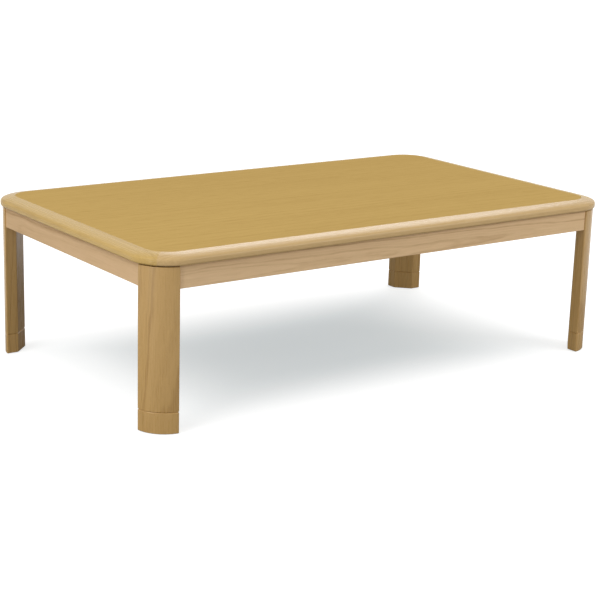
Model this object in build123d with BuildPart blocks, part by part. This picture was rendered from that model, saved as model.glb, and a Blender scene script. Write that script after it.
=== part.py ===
from build123d import *
import os
from math import sqrt

# Kotatsu table: a lift-off tabletop on a frame of four rails and four quarter-round legs,
# with plug-in extension feet and a fan heater hung in the middle of the frame.
# Millimetres. The floor is z = 0, the table's middle is x = y = 0, and its length runs along X.

# ---------------------------------------------------------------- driving dimensions

# Tabletop
top_length = 1350.0
top_width = 800.0
top_thickness = 24.0
top_corner_radius = 90.0
band_width = 36.0  # from the rim to the crease round the flat field
band_drop = 8.0  # fall of the sloping band, measured at the rim
shoulder_width = 23.0  # from the rim to where the band's steeper slope would meet the field's level
shoulder_reach = 9.0  # how far down the steeper slope the gentler one reaches
shoulder_radius = 60.0  # blends the two slopes
rim_upper_radius = 9.0
rim_lower_radius = 5.0
mitre_margin = 10.0

# Heights above the floor
table_height = 400.0
foot_height = 50.0

# Legs: a quarter-round section, given in a frame that starts at the leg's outer corner
top_overhang = 8.0
leg_width = 67.0
leg_flat = 30.0
leg_arc_centre = 73.0
leg_arris_radius = 2.5
leg_top_gap = 2.2  # the legs stop just under the tabletop, which rests on the rails
leg_top_radius = 2.0
leg_foot_chamfer = 1.6

# Rails
rail_height = 52.0
rail_thickness = 21.0
rail_setback = 3.5
rail_arris_radius = 1.5

# Rail dowels
dowel_radius = 4.0
dowel_length = 40.0
dowel_end_margin = 13.0
dowel_end_chamfer = 1.0

# Corner blocks, their bolts and their screws
block_depth = 31.0
block_margin = 4.0
bolt_radius = 4.0
bolt_grip = 26.0
bolt_tail = 3.0
bolt_pitch = 24.0
bolt_end_chamfer = 0.8
washer_radius = 9.0
washer_thickness = 1.6
nut_across_flats = 13.0
nut_height = 6.5
block_screw_place = 100.0
block_screw_pitch = 20.0
block_screw_sink = 5.0
wood_screw_head = 4.0
wood_screw_head_height = 2.6
wood_screw_shank = 2.0
block_screw_length = 26.0
screw_recess_width = 0.9
screw_recess_depth = 1.2
fastener_clearance = 0.1

# Lattice that carries the heater
heater_opening = 298.0
crossbar_width = 45.0
crossbar_height = 30.0
crossbar_drop = 6.0
spacer_width = 40.0
tenon_inset = 7.0
crossbar_tenon = 10.0
spacer_tenon = 8.0
tenon_clearance = 0.2

# Extension feet
foot_top_chamfer = 2.0
foot_bottom_radius = 2.0
pin_radius = 5.0
pin_in_foot = 20.0
pin_in_leg = 26.0
pin_tip_chamfer = 1.5
pin_clearance = 0.08
socket_wall = 3.0
socket_depth = 30.0
glide_radius = 11.0
glide_thickness = 3.0
glide_proud = 1.0
glide_clearance = 0.2

# Heater casing
bezel_side = 330.0
bezel_thickness = 4.0
bezel_corner_radius = 18.0
bezel_edge_radius = 2.0
bezel_wall = 3.0
bezel_wall_height = 12.0
body_clearance = 1.0
window_length = 264.0
window_width = 220.0
window_radius = 10.0
case_clearance = 0.3
case_sheet = 0.8
case_corner_radius = 12.0
case_edge_radius = 3.0
case_top_gap = 4.0
vent_count = 10
vent_ring_radius = 60.0
vent_length = 22.0
vent_width = 4.0

# Heater fastening
heater_screw_spacing_y = 220.0
heater_screw_length = 22.0
pan_head_radius = 3.0
pan_head_height = 1.8
machine_screw_radius = 1.5

# Reflector and heating tubes
reflector_sheet = 0.8
reflector_lift = 13.0
reflector_length = 260.0
reflector_lap = 3.0
trough_radius = 15.0
tube_spacing = 148.0
tube_radius = 5.0
tube_wall = 1.0
tube_length = 234.0
tube_drop = 1.0
coil_radius = 1.6
coil_length = 200.0
coil_tail_radius = 0.7
holder_width = 16.0
holder_depth = 10.0
holder_below = 8.0
holder_bite = 5.0
holder_clearance = 0.1

# Fan
fan_hole_radius = 46.0
fan_radius = 41.0
fan_hub_radius = 12.0
fan_hub_height = 8.0
fan_drop = 1.5
blade_count = 5
blade_chord = 15.0
blade_thickness = 1.2
blade_tilt = 28.0
blade_root = 1.5
shaft_radius = 1.5
shaft_clearance = 0.05
motor_radius = 19.0
motor_gap = 1.0
motor_edge_radius = 1.0
motor_bore_depth = 10.0
bracket_length = 84.0
bracket_width = 22.0
bracket_thickness = 1.2
bracket_screw_spacing = 72.0
bracket_screw_length = 3.5

# Guard
guard_strip_width = 8.0
guard_strip_thickness = 1.5
guard_wire_radius = 1.1
guard_wire_pitch = 13.0
guard_wire_count = 17
guard_cross_pitch = 45.0
guard_cross_count = 5
guard_drop = 8.5
guard_slope_run = 11.0
guard_bend_radius = 6.0
guard_weld_overlap = 0.3
guard_screw_spacing = 120.0
guard_screw_length = 6.5

# Electrical parts
inlet_width = 22.0
inlet_length = 34.0
inlet_height = 32.0
inlet_proud = 6.0
inlet_gap = 0.9
inlet_wall = 3.0
inlet_depth = 22.0
inlet_fit = 0.2
inlet_pin_radius = 2.0
inlet_pin_length = 18.0
inlet_pin_spacing = 13.0
inlet_pin_root = 4.0
thermostat_radius = 9.0
thermostat_height = 9.0
thermostat_edge_radius = 1.0
thermostat_place = 95.0
fuse_radius = 3.0
fuse_length = 18.0
fuse_offset = 28.0
terminal_length = 40.0
terminal_width = 14.0
terminal_height = 12.0
terminal_place = 112.0
terminal_hole_radius = 2.2
terminal_hole_pitch = 9.0
terminal_hole_count = 4
terminal_hole_depth = 8.0
lead_radius = 1.1
lead_bend = 5.0
lead_rise = 5.5
lead_margin = 10.0
lead_lane_step = 4.0

# ---------------------------------------------------------------- derived places

underside = table_height - top_thickness
rail_top = underside
rail_bottom = rail_top - rail_height
rail_middle = (rail_top + rail_bottom) / 2
leg_top = rail_top - leg_top_gap
leg_plane_x = top_length / 2 - top_overhang
leg_plane_y = top_width / 2 - top_overhang
leg_arc_radius = sqrt(leg_arc_centre**2 + (leg_arc_centre - leg_width) ** 2)
leg_arc_near = leg_arc_centre - leg_arc_radius / sqrt(2)
rail_inner = rail_setback + rail_thickness
rail_axis = rail_setback + rail_thickness / 2
dowel_heights = (rail_bottom + dowel_end_margin, rail_top - dowel_end_margin)

facet_sum = leg_width + leg_flat
facet_middle = facet_sum / 2
block_far_sum = facet_sum + block_depth * sqrt(2)
block_height = rail_height - 2 * block_margin
bolt_heights = (rail_middle - bolt_pitch / 2, rail_middle + bolt_pitch / 2)
block_screw_heights = (rail_middle - block_screw_pitch / 2, rail_middle + block_screw_pitch / 2)
block_screw_seat = block_far_sum - block_screw_place - block_screw_sink

crossbar_top = rail_top - crossbar_drop
crossbar_bottom = crossbar_top - crossbar_height
crossbar_middle = (crossbar_top + crossbar_bottom) / 2
crossbar_x = heater_opening / 2 + crossbar_width / 2
spacer_y = heater_opening / 2 + spacer_width / 2
crossbar_reach = leg_plane_y - rail_inner
spacer_reach = heater_opening / 2

foot_bottom = glide_proud
pin_place = (leg_arc_near + facet_middle) / 2

bezel_top = crossbar_bottom
bezel_bottom = bezel_top - bezel_thickness
body_outer = heater_opening - 2 * body_clearance
body_inner = body_outer - 2 * bezel_wall
case_side = body_inner - 2 * case_clearance
case_top = rail_top - case_top_gap
case_ceiling = case_top - case_sheet
reflector_level = bezel_top + reflector_lift
reflector_upper = reflector_level + reflector_sheet / 2
reflector_half = window_width / 2 + reflector_lap
tube_level = reflector_level - tube_drop
tube_places = (-tube_spacing / 2, tube_spacing / 2)
trough_rise = sqrt((trough_radius - reflector_sheet / 2) ** 2 - (holder_width / 2) ** 2)
holder_top = reflector_level + trough_rise - holder_clearance
holder_bottom = reflector_level - holder_below
holder_inner = tube_length / 2 - holder_bite
fan_top = reflector_level - fan_drop
fan_bottom = fan_top - fan_hub_height
motor_bottom = reflector_upper + motor_gap
motor_top = case_ceiling - bracket_thickness
guard_seat = bezel_bottom - guard_strip_thickness
guard_level = guard_seat - guard_drop
cross_level = guard_level + 2 * guard_wire_radius - guard_weld_overlap
inlet_x = -(case_side / 2 - case_sheet - inlet_gap - inlet_width / 2)
inlet_bottom = bezel_bottom - inlet_proud
inlet_top = inlet_bottom + inlet_height

UP = (0, 0, 1)
DOWN = (0, 0, -1)
CORNERS = {
    "front_left": (-1, -1, 0),
    "front_right": (1, -1, 90),
    "back_right": (1, 1, 180),
    "back_left": (-1, 1, 270),
}
SIDES = {
    "front": (0, -1, 0),
    "right": (1, 0, 90),
    "back": (0, 1, 180),
    "left": (-1, 0, 270),
}

# ---------------------------------------------------------------- helpers


def corner_plane(corner, level=0.0):
    """Plane at a leg's outer corner, with x and y pointing inwards along the two rails."""
    side_x, side_y, turn = CORNERS[corner]
    origin = (side_x * leg_plane_x, side_y * leg_plane_y, level)
    return Plane(origin=origin, x_dir=Vector(1, 0, 0).rotate(Axis.Z, turn), z_dir=UP)


def side_plane(side):
    """Plane at the middle of a side's leg faces, with x along the side and y inwards."""
    side_x, side_y, turn = SIDES[side]
    origin = (side_x * leg_plane_x, side_y * leg_plane_y, 0)
    return Plane(origin=origin, x_dir=Vector(1, 0, 0).rotate(Axis.Z, turn), z_dir=UP)


def rail_half_run(side):
    """Half the clear length between the two legs of a side."""
    half = leg_plane_x if side in ("front", "back") else leg_plane_y
    return half - leg_width


def place(plane, x, y, z):
    """Point of the plane's own frame, in the table's frame."""
    return plane.from_local_coords(Vector(x, y, z))


def diagonal(plane):
    """Direction from a leg's outer corner to the table's inside."""
    return (plane.x_dir + plane.y_dir).normalized()


def rod(start, direction, radius, length, mode=Mode.ADD):
    """Round rod, or a hole with mode SUBTRACT, from start along direction."""
    with BuildSketch(Plane(origin=start, z_dir=direction)) as section:
        Circle(radius)
    extrude(section.sketch, amount=length, mode=mode)


def drill(start, direction, radius, depth):
    rod(start, direction, radius, depth, Mode.SUBTRACT)


def flat_head_screw(seat, direction, length):
    """Countersunk wood screw; seat is the middle of the head's outer face."""
    base = (Align.CENTER, Align.CENTER, Align.MIN)
    with Locations(Plane(origin=seat, z_dir=direction)):
        Cone(wood_screw_head, wood_screw_shank, wood_screw_head_height, align=base)
        Cylinder(wood_screw_shank, length, align=base)
        for size in ((wood_screw_head, screw_recess_width), (screw_recess_width, wood_screw_head)):
            Box(*size, screw_recess_depth, align=base, mode=Mode.SUBTRACT)


def flat_head_hole(seat, direction, length):
    """Countersunk hole that the flat head screw fits, with a little air round it."""
    base = (Align.CENTER, Align.CENTER, Align.MIN)
    air = fastener_clearance
    with Locations(Plane(origin=seat, z_dir=direction)):
        Cone(
            wood_screw_head + air,
            wood_screw_shank + air,
            wood_screw_head_height,
            align=base,
            mode=Mode.SUBTRACT,
        )
        Cylinder(wood_screw_shank + air, length, align=base, mode=Mode.SUBTRACT)


def pan_head_screw(seat, direction, length):
    """Small machine screw; seat is the face that its head bears on."""
    axis = Vector(*direction)
    rod(Vector(*seat) - axis * pan_head_height, direction, pan_head_radius, pan_head_height)
    rod(seat, direction, machine_screw_radius, length)


def save(builder, name):
    """Label one finished piece and write it."""
    builder.part.label = name
    export_step(builder.part, f"parts/{name}.step")


os.makedirs("parts", exist_ok=True)

# ---------------------------------------------------------------- tabletop

with BuildPart() as slab:
    with BuildSketch(Plane.XY.offset(underside)):
        RectangleRounded(top_length, top_width, top_corner_radius)
    extrude(amount=top_thickness)
    for width, fall in ((shoulder_width, band_drop), (band_width - shoulder_width, shoulder_reach)):
        field = slab.faces().sort_by(Axis.Z)[-1]
        chamfer(field.edges(), length=width, length2=fall, reference=field)
    shoulder = slab.edges().group_by(Axis.Z)[-3]  # below the field's edge and the inner slope's seams
    fillet(shoulder, shoulder_radius)
    upper_rim = slab.edges().group_by(Axis.Z)[2]  # above the lower rim and the corner seams
    fillet(upper_rim, rim_upper_radius)
    fillet(slab.edges().group_by(Axis.Z)[0], rim_lower_radius)


def field_prism(mode):
    """The flat field's outline through the whole thickness."""
    with BuildSketch(Plane.XY.offset(underside)) as outline:
        RectangleRounded(
            top_length - 2 * band_width,
            top_width - 2 * band_width,
            top_corner_radius - band_width,
        )
    extrude(outline.sketch, amount=top_thickness, mode=mode)


with BuildPart() as top_panel:
    add(slab.part)
    field_prism(Mode.INTERSECT)
save(top_panel, "top_panel")


def mitre_outline(side):
    """Outline of one lipping's share of the top, bounded by the mitres at its two corners."""
    x, y = top_length / 2, top_width / 2
    far_x, far_y = x + mitre_margin, y + mitre_margin
    ridge = x - y
    outlines = {
        "front": ((-far_x, -far_y), (far_x, -far_y), (ridge, 0), (-ridge, 0)),
        "back": ((far_x, far_y), (-far_x, far_y), (-ridge, 0), (ridge, 0)),
        "left": ((-far_x, far_y), (-far_x, -far_y), (-ridge, 0)),
        "right": ((far_x, -far_y), (far_x, far_y), (ridge, 0)),
    }
    return outlines[side]


for side in SIDES:
    with BuildPart() as lipping:
        add(slab.part)
        field_prism(Mode.SUBTRACT)
        with BuildSketch(Plane.XY.offset(underside)):
            with BuildLine():
                Polyline(*mitre_outline(side), close=True)
            make_face()
        extrude(amount=top_thickness, mode=Mode.INTERSECT)
    save(lipping, f"edge_{side}")

# ---------------------------------------------------------------- legs and feet


def leg_section(plane):
    """Quarter-round section: an arc outside, a flat towards each rail, a facet inside."""
    with BuildSketch(plane) as section:
        with BuildLine():
            ThreePointArc((0, leg_width), (leg_arc_near, leg_arc_near), (leg_width, 0))
            Polyline(
                (leg_width, 0),
                (leg_width, leg_flat),
                (leg_flat, leg_width),
                (0, leg_width),
            )
        make_face()
        fillet(section.vertices(), leg_arris_radius)
    return section.sketch


def leg_dowels(plane):
    """Start and direction of each dowel in a leg, at the leg's flats, pointing into the leg."""
    spots = []
    for level in dowel_heights:
        spots.append((place(plane, leg_width, rail_axis, level), -plane.x_dir))
        spots.append((place(plane, rail_axis, leg_width, level), -plane.y_dir))
    return spots


for corner in CORNERS:
    plane = corner_plane(corner)
    inward = diagonal(plane)

    with BuildPart() as leg:
        extrude(leg_section(plane.offset(foot_height)), amount=leg_top - foot_height)
        fillet(leg.faces().sort_by(Axis.Z)[-1].edges(), leg_top_radius)
        chamfer(leg.faces().sort_by(Axis.Z)[0].edges(), leg_foot_chamfer)
        for start, direction in leg_dowels(plane):
            drill(start, direction, dowel_radius, dowel_length / 2)
        for level in bolt_heights:
            drill(place(plane, facet_middle, facet_middle, level), -inward, bolt_radius, bolt_grip)
        drill(place(plane, pin_place, pin_place, foot_height), UP, pin_radius + socket_wall, socket_depth)
    save(leg, f"leg_{corner}")

    with BuildPart() as foot:
        extrude(leg_section(plane.offset(foot_bottom)), amount=foot_height - foot_bottom)
        chamfer(foot.faces().sort_by(Axis.Z)[-1].edges(), foot_top_chamfer)
        fillet(foot.faces().sort_by(Axis.Z)[0].edges(), foot_bottom_radius)
        drill(place(plane, pin_place, pin_place, foot_height), DOWN, pin_radius, pin_in_foot)
        drill(
            place(plane, pin_place, pin_place, foot_bottom),
            UP,
            glide_radius + glide_clearance,
            glide_thickness - glide_proud,
        )
    save(foot, f"foot_{corner}")

    with BuildPart() as foot_pin:
        pin_length = pin_in_foot + pin_in_leg
        rod(place(plane, pin_place, pin_place, foot_height - pin_in_foot), UP, pin_radius, pin_length)
        chamfer(foot_pin.edges().group_by(Axis.Z)[-1], pin_tip_chamfer)
    save(foot_pin, f"foot_pin_{corner}")

    with BuildPart() as glide:
        rod(place(plane, pin_place, pin_place, 0), UP, glide_radius, glide_thickness)
        fillet(glide.edges().group_by(Axis.Z)[0], glide_proud / 2)
    save(glide, f"glide_{corner}")

with BuildPart() as foot_sockets:
    for corner in CORNERS:
        mouth = place(corner_plane(corner), pin_place, pin_place, foot_height)
        rod(mouth, UP, pin_radius + socket_wall, socket_depth)
        drill(mouth, UP, pin_radius + pin_clearance, socket_depth)
save(foot_sockets, "foot_sockets")

# ---------------------------------------------------------------- rails and their dowels

for side in SIDES:
    plane = side_plane(side)
    half_run = rail_half_run(side)
    with BuildPart() as rail:
        with BuildSketch(Plane(origin=plane.origin, x_dir=plane.y_dir, z_dir=plane.x_dir)) as section:
            with Locations((rail_axis, rail_middle)):
                Rectangle(rail_thickness, rail_height)
            fillet(section.vertices().group_by(Axis.Z)[0], rail_arris_radius)
        extrude(amount=half_run, both=True)
        for level in dowel_heights:
            for end in (-1, 1):
                mouth = place(plane, end * half_run, rail_axis, level)
                drill(mouth, plane.x_dir * -end, dowel_radius, dowel_length / 2)
        if side in ("front", "back"):
            for end in (-1, 1):
                with Locations((end * crossbar_x, 0, crossbar_middle)):
                    Box(
                        crossbar_width - 2 * tenon_inset + 2 * tenon_clearance,
                        2 * (crossbar_reach + crossbar_tenon + tenon_clearance),
                        crossbar_height - 2 * tenon_inset + 2 * tenon_clearance,
                        mode=Mode.SUBTRACT,
                    )
        for corner in CORNERS:
            leg_plane = corner_plane(corner)
            for level in block_screw_heights:
                for across in (leg_plane.x_dir, leg_plane.y_dir):
                    along = leg_plane.x_dir + leg_plane.y_dir - across
                    seat = leg_plane.origin + across * block_screw_place + along * block_screw_seat
                    seat += Vector(0, 0, level)
                    drill(seat, -along, wood_screw_shank + fastener_clearance, block_screw_length)
    save(rail, f"rail_{side}")

with BuildPart() as rail_dowels:
    for corner in CORNERS:
        for start, direction in leg_dowels(corner_plane(corner)):
            rod(start - direction * dowel_length / 2, direction, dowel_radius, dowel_length)
    chamfer(rail_dowels.edges().filter_by(GeomType.CIRCLE), dowel_end_chamfer)
save(rail_dowels, "rail_dowels")

# ---------------------------------------------------------------- corner blocks and bolts


def block_screw_seats(plane):
    """Seat and direction of each screw that holds a corner block to its two rails."""
    spots = []
    for level in block_screw_heights:
        spots.append((place(plane, block_screw_place, block_screw_seat, level), -plane.y_dir))
        spots.append((place(plane, block_screw_seat, block_screw_place, level), -plane.x_dir))
    return spots


for corner in CORNERS:
    plane = corner_plane(corner)
    inward = diagonal(plane)
    with BuildPart() as block:
        with BuildSketch(plane.offset(rail_bottom + block_margin)):
            with BuildLine():
                Polyline(
                    (facet_sum - rail_inner, rail_inner),
                    (block_far_sum - rail_inner, rail_inner),
                    (rail_inner, block_far_sum - rail_inner),
                    (rail_inner, facet_sum - rail_inner),
                    close=True,
                )
            make_face()
        extrude(amount=block_height)
        for level in bolt_heights:
            hole = place(plane, facet_middle, facet_middle, level)
            drill(hole, inward, bolt_radius + fastener_clearance, block_depth)
        for seat, direction in block_screw_seats(plane):
            flat_head_hole(seat, direction, block_screw_length)
            drill(seat, -direction, wood_screw_head + fastener_clearance, block_depth)
    save(block, f"corner_block_{corner}")

with BuildPart() as block_screws:
    for corner in CORNERS:
        for seat, direction in block_screw_seats(corner_plane(corner)):
            flat_head_screw(seat, direction, block_screw_length)
save(block_screws, "block_screws")


def bolt_stations():
    """Middle of each bolt at the leg's facet, with the direction to the table's inside."""
    for corner in CORNERS:
        plane = corner_plane(corner)
        for level in bolt_heights:
            yield place(plane, facet_middle, facet_middle, level), diagonal(plane)


with BuildPart() as leg_bolts:
    bolt_length = bolt_grip + block_depth + washer_thickness + nut_height + bolt_tail
    for station, inward in bolt_stations():
        with Locations(Plane(origin=station - inward * bolt_grip, z_dir=inward)):
            Cylinder(bolt_radius, bolt_length, align=(Align.CENTER, Align.CENTER, Align.MIN))
    chamfer(leg_bolts.edges().filter_by(GeomType.CIRCLE), bolt_end_chamfer)
save(leg_bolts, "leg_bolts")

with BuildPart() as leg_washers:
    for station, inward in bolt_stations():
        with BuildSketch(Plane(origin=station + inward * block_depth, z_dir=inward)):
            Circle(washer_radius)
            Circle(bolt_radius + fastener_clearance, mode=Mode.SUBTRACT)
        extrude(amount=washer_thickness)
save(leg_washers, "leg_washers")

with BuildPart() as leg_nuts:
    for station, inward in bolt_stations():
        with BuildSketch(Plane(origin=station + inward * (block_depth + washer_thickness), z_dir=inward)):
            RegularPolygon(nut_across_flats / 2, 6, major_radius=False)
            Circle(bolt_radius, mode=Mode.SUBTRACT)
        extrude(amount=nut_height)
save(leg_nuts, "leg_nuts")

# ---------------------------------------------------------------- heater lattice


heater_screw_x = (heater_opening + bezel_side) / 4  # in the middle of the bezel's lip
heater_screw_seats = [
    (x, y, bezel_bottom)
    for x in (-heater_screw_x, heater_screw_x)
    for y in (-heater_screw_spacing_y / 2, heater_screw_spacing_y / 2)
]

for name, end in (("left", -1), ("right", 1)):
    with BuildPart() as crossbar:
        with Locations((end * crossbar_x, 0, crossbar_middle)):
            Box(crossbar_width, 2 * crossbar_reach, crossbar_height)
            Box(
                crossbar_width - 2 * tenon_inset,
                2 * (crossbar_reach + crossbar_tenon),
                crossbar_height - 2 * tenon_inset,
            )
        for spacer_end in (-1, 1):
            with Locations((0, spacer_end * spacer_y, crossbar_middle)):
                Box(
                    2 * (spacer_reach + spacer_tenon + tenon_clearance),
                    spacer_width - 2 * tenon_inset + 2 * tenon_clearance,
                    crossbar_height - 2 * tenon_inset + 2 * tenon_clearance,
                    mode=Mode.SUBTRACT,
                )
        for seat in heater_screw_seats:
            drill(seat, UP, wood_screw_shank + fastener_clearance, heater_screw_length)
    save(crossbar, f"crossbar_{name}")

for name, end in (("front", -1), ("back", 1)):
    with BuildPart() as spacer:
        with Locations((0, end * spacer_y, crossbar_middle)):
            Box(2 * spacer_reach, spacer_width, crossbar_height)
            Box(
                2 * (spacer_reach + spacer_tenon),
                spacer_width - 2 * tenon_inset,
                crossbar_height - 2 * tenon_inset,
            )
    save(spacer, f"spacer_{name}")

# ---------------------------------------------------------------- heater casing

guard_strip_y = (window_length + guard_strip_width) / 2
guard_strip_x = (window_width + guard_strip_width) / 2
guard_screw_xs = (-guard_screw_spacing / 2, guard_screw_spacing / 2)
guard_screw_seats = [(x, y, guard_seat) for x in guard_screw_xs for y in (-guard_strip_y, guard_strip_y)]

with BuildPart() as heater_bezel:
    with BuildSketch(Plane.XY.offset(bezel_bottom)):
        RectangleRounded(bezel_side, bezel_side, bezel_corner_radius)
    extrude(amount=bezel_thickness)
    fillet(heater_bezel.faces().sort_by(Axis.Z)[0].edges(), bezel_edge_radius)
    with BuildSketch(Plane.XY.offset(bezel_top)):
        RectangleRounded(body_outer, body_outer, case_corner_radius + bezel_wall)
        RectangleRounded(body_inner, body_inner, case_corner_radius, mode=Mode.SUBTRACT)
    extrude(amount=bezel_wall_height)
    with BuildSketch(Plane.XY.offset(bezel_bottom)):
        RectangleRounded(window_width, window_length, window_radius)
        with Locations((inlet_x, 0)):
            Rectangle(inlet_width + 2 * inlet_fit, inlet_length + 2 * inlet_fit)
    extrude(amount=bezel_thickness, mode=Mode.SUBTRACT)
    for seat in heater_screw_seats:
        flat_head_hole(seat, UP, heater_screw_length)
    for seat in guard_screw_seats:
        drill(seat, UP, machine_screw_radius + fastener_clearance, guard_screw_length)
save(heater_bezel, "heater_bezel")

bracket_screw_xs = (-bracket_screw_spacing / 2, bracket_screw_spacing / 2)

with BuildPart() as heater_case:
    with BuildSketch(Plane.XY.offset(bezel_top)):
        RectangleRounded(case_side, case_side, case_corner_radius)
    extrude(amount=case_top - bezel_top)
    fillet(heater_case.faces().sort_by(Axis.Z)[-1].edges(), case_edge_radius)
    offset(amount=-case_sheet, openings=heater_case.faces().sort_by(Axis.Z)[0])
    with BuildSketch(Plane.XY.offset(case_ceiling)):
        with PolarLocations(vent_ring_radius, vent_count):
            SlotOverall(vent_length, vent_width)
        with Locations(*[(x, 0) for x in bracket_screw_xs]):
            Circle(machine_screw_radius + fastener_clearance)
    extrude(amount=case_sheet, mode=Mode.SUBTRACT)
save(heater_case, "heater_case")

with BuildPart() as heater_screws:
    for seat in heater_screw_seats:
        flat_head_screw(seat, UP, heater_screw_length)
save(heater_screws, "heater_screws")

# ---------------------------------------------------------------- reflector and tubes

with BuildPart() as reflector:
    with BuildSketch(Plane.XZ) as profile:
        with BuildLine() as bend:
            left, right = tube_places
            level = reflector_level
            crown = level + trough_radius
            Polyline(
                (-reflector_half, bezel_top),
                (-reflector_half, level),
                (left - trough_radius, level),
            )
            ThreePointArc((left - trough_radius, level), (left, crown), (left + trough_radius, level))
            Line((left + trough_radius, level), (right - trough_radius, level))
            ThreePointArc((right - trough_radius, level), (right, crown), (right + trough_radius, level))
            Polyline(
                (right + trough_radius, level),
                (reflector_half, level),
                (reflector_half, bezel_top),
            )
        trace(line_width=reflector_sheet)
    extrude(amount=reflector_length / 2, both=True)
    with BuildSketch(Plane.XY.offset(bezel_top)):
        Circle(fan_hole_radius)
    extrude(amount=case_ceiling - bezel_top, mode=Mode.SUBTRACT)
    split(bisect_by=Plane.XY.offset(bezel_top), keep=Keep.TOP)
save(reflector, "reflector")

with BuildPart() as quartz_tubes:
    for x in tube_places:
        start = (x, -tube_length / 2, tube_level)
        rod(start, (0, 1, 0), tube_radius, tube_length)
        drill(start, (0, 1, 0), tube_radius - tube_wall, tube_length)
save(quartz_tubes, "quartz_tubes")

with BuildPart() as heating_coils:
    tail_reach = tube_length / 2 + holder_bite / 2
    for x in tube_places:
        rod((x, -coil_length / 2, tube_level), (0, 1, 0), coil_radius, coil_length)
        rod((x, -tail_reach, tube_level), (0, 1, 0), coil_tail_radius, 2 * tail_reach)
save(heating_coils, "heating_coils")

with BuildPart() as tube_holders:
    for x in tube_places:
        for end in (-1, 1):
            with Locations((x, end * (holder_inner + holder_depth / 2), (holder_top + holder_bottom) / 2)):
                Box(holder_width, holder_depth, holder_top - holder_bottom)
            mouth = (x, end * holder_inner, tube_level)
            drill(mouth, (0, end, 0), tube_radius + holder_clearance, holder_bite)
            drill(mouth, (0, end, 0), coil_tail_radius + holder_clearance, holder_depth)
save(tube_holders, "tube_holders")

# ---------------------------------------------------------------- fan

with BuildPart() as motor_bracket:
    with BuildSketch(Plane.XY.offset(motor_top)):
        SlotOverall(bracket_length, bracket_width)
        with Locations(*[(x, 0) for x in bracket_screw_xs]):
            Circle(machine_screw_radius + fastener_clearance, mode=Mode.SUBTRACT)
    extrude(amount=bracket_thickness)
save(motor_bracket, "motor_bracket")

with BuildPart() as motor_screws:
    for x in bracket_screw_xs:
        pan_head_screw((x, 0, motor_top), UP, bracket_screw_length)
save(motor_screws, "motor_screws")

with BuildPart() as fan_motor:
    rod((0, 0, motor_bottom), UP, motor_radius, motor_top - motor_bottom)
    fillet(fan_motor.edges().group_by(Axis.Z)[0], motor_edge_radius)
    drill((0, 0, motor_bottom), UP, shaft_radius + shaft_clearance, motor_bore_depth + motor_gap)
save(fan_motor, "fan_motor")

with BuildPart() as fan_shaft:
    rod((0, 0, fan_bottom), UP, shaft_radius, motor_bottom + motor_bore_depth - fan_bottom)
save(fan_shaft, "fan_shaft")

with BuildPart() as fan_rotor:
    rod((0, 0, fan_bottom), UP, fan_hub_radius, fan_hub_height)
    for index in range(blade_count):
        outwards = Vector(1, 0, 0).rotate(Axis.Z, index * 360 / blade_count)
        chord = Vector(0, 1, 0).rotate(Axis.X, blade_tilt).rotate(Axis.Z, index * 360 / blade_count)
        root = outwards * (fan_hub_radius - blade_root) + Vector(0, 0, (fan_top + fan_bottom) / 2)
        with BuildSketch(Plane(origin=root, x_dir=chord, z_dir=outwards)):
            Rectangle(blade_chord, blade_thickness)
        extrude(amount=fan_radius - fan_hub_radius + blade_root)
    drill((0, 0, fan_bottom), UP, shaft_radius, fan_hub_height)
save(fan_rotor, "fan_rotor")

# ---------------------------------------------------------------- guard


def guard_wire(plane, reach, level):
    """One wire of the guard: up to the strip at both ends, flat between."""
    with BuildLine(plane) as path:
        FilletPolyline(
            (-reach, guard_seat),
            (guard_slope_run - reach, level),
            (reach - guard_slope_run, level),
            (reach, guard_seat),
            radius=guard_bend_radius,
        )
    with BuildSketch(Plane(origin=path.line @ 0, z_dir=path.line % 0)) as section:
        Circle(guard_wire_radius)
    sweep(section.sketch, path=path.line)


def centred_steps(count, pitch):
    """Places of a row of equal steps about zero."""
    return [(index - (count - 1) / 2) * pitch for index in range(count)]


with BuildPart() as guard:
    for x in centred_steps(guard_wire_count, guard_wire_pitch):
        guard_wire(Plane(origin=(x, 0, 0), x_dir=(0, 1, 0), z_dir=(1, 0, 0)), guard_strip_y, guard_level)
    for y in centred_steps(guard_cross_count, guard_cross_pitch):
        guard_wire(Plane(origin=(0, y, 0), x_dir=(1, 0, 0), z_dir=(0, -1, 0)), guard_strip_x, cross_level)
    with BuildSketch(Plane.XY.offset(guard_seat)):
        RectangleRounded(
            window_width + 2 * guard_strip_width,
            window_length + 2 * guard_strip_width,
            window_radius + guard_strip_width,
        )
        RectangleRounded(window_width, window_length, window_radius, mode=Mode.SUBTRACT)
    extrude(amount=guard_strip_thickness)
    split(bisect_by=Plane.XY.offset(bezel_bottom), keep=Keep.BOTTOM)
    for seat in guard_screw_seats:
        drill(seat, UP, machine_screw_radius + fastener_clearance, guard_strip_thickness)
save(guard, "guard")

with BuildPart() as guard_screws:
    for seat in guard_screw_seats:
        pan_head_screw(seat, UP, guard_screw_length)
save(guard_screws, "guard_screws")

# ---------------------------------------------------------------- electrical parts

with BuildPart() as inlet_socket:
    with BuildSketch(Plane.XY.offset(inlet_bottom)):
        with Locations((inlet_x, 0)):
            Rectangle(inlet_width, inlet_length)
    extrude(amount=inlet_height)
    with BuildSketch(Plane.XY.offset(inlet_bottom)):
        with Locations((inlet_x, 0)):
            Rectangle(inlet_width - 2 * inlet_wall, inlet_length - 2 * inlet_wall)
    extrude(amount=inlet_depth, mode=Mode.SUBTRACT)
    for y in (-inlet_pin_spacing / 2, inlet_pin_spacing / 2):
        drill((inlet_x, y, inlet_bottom + inlet_depth), UP, inlet_pin_radius, inlet_pin_root)
save(inlet_socket, "inlet_socket")

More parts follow.
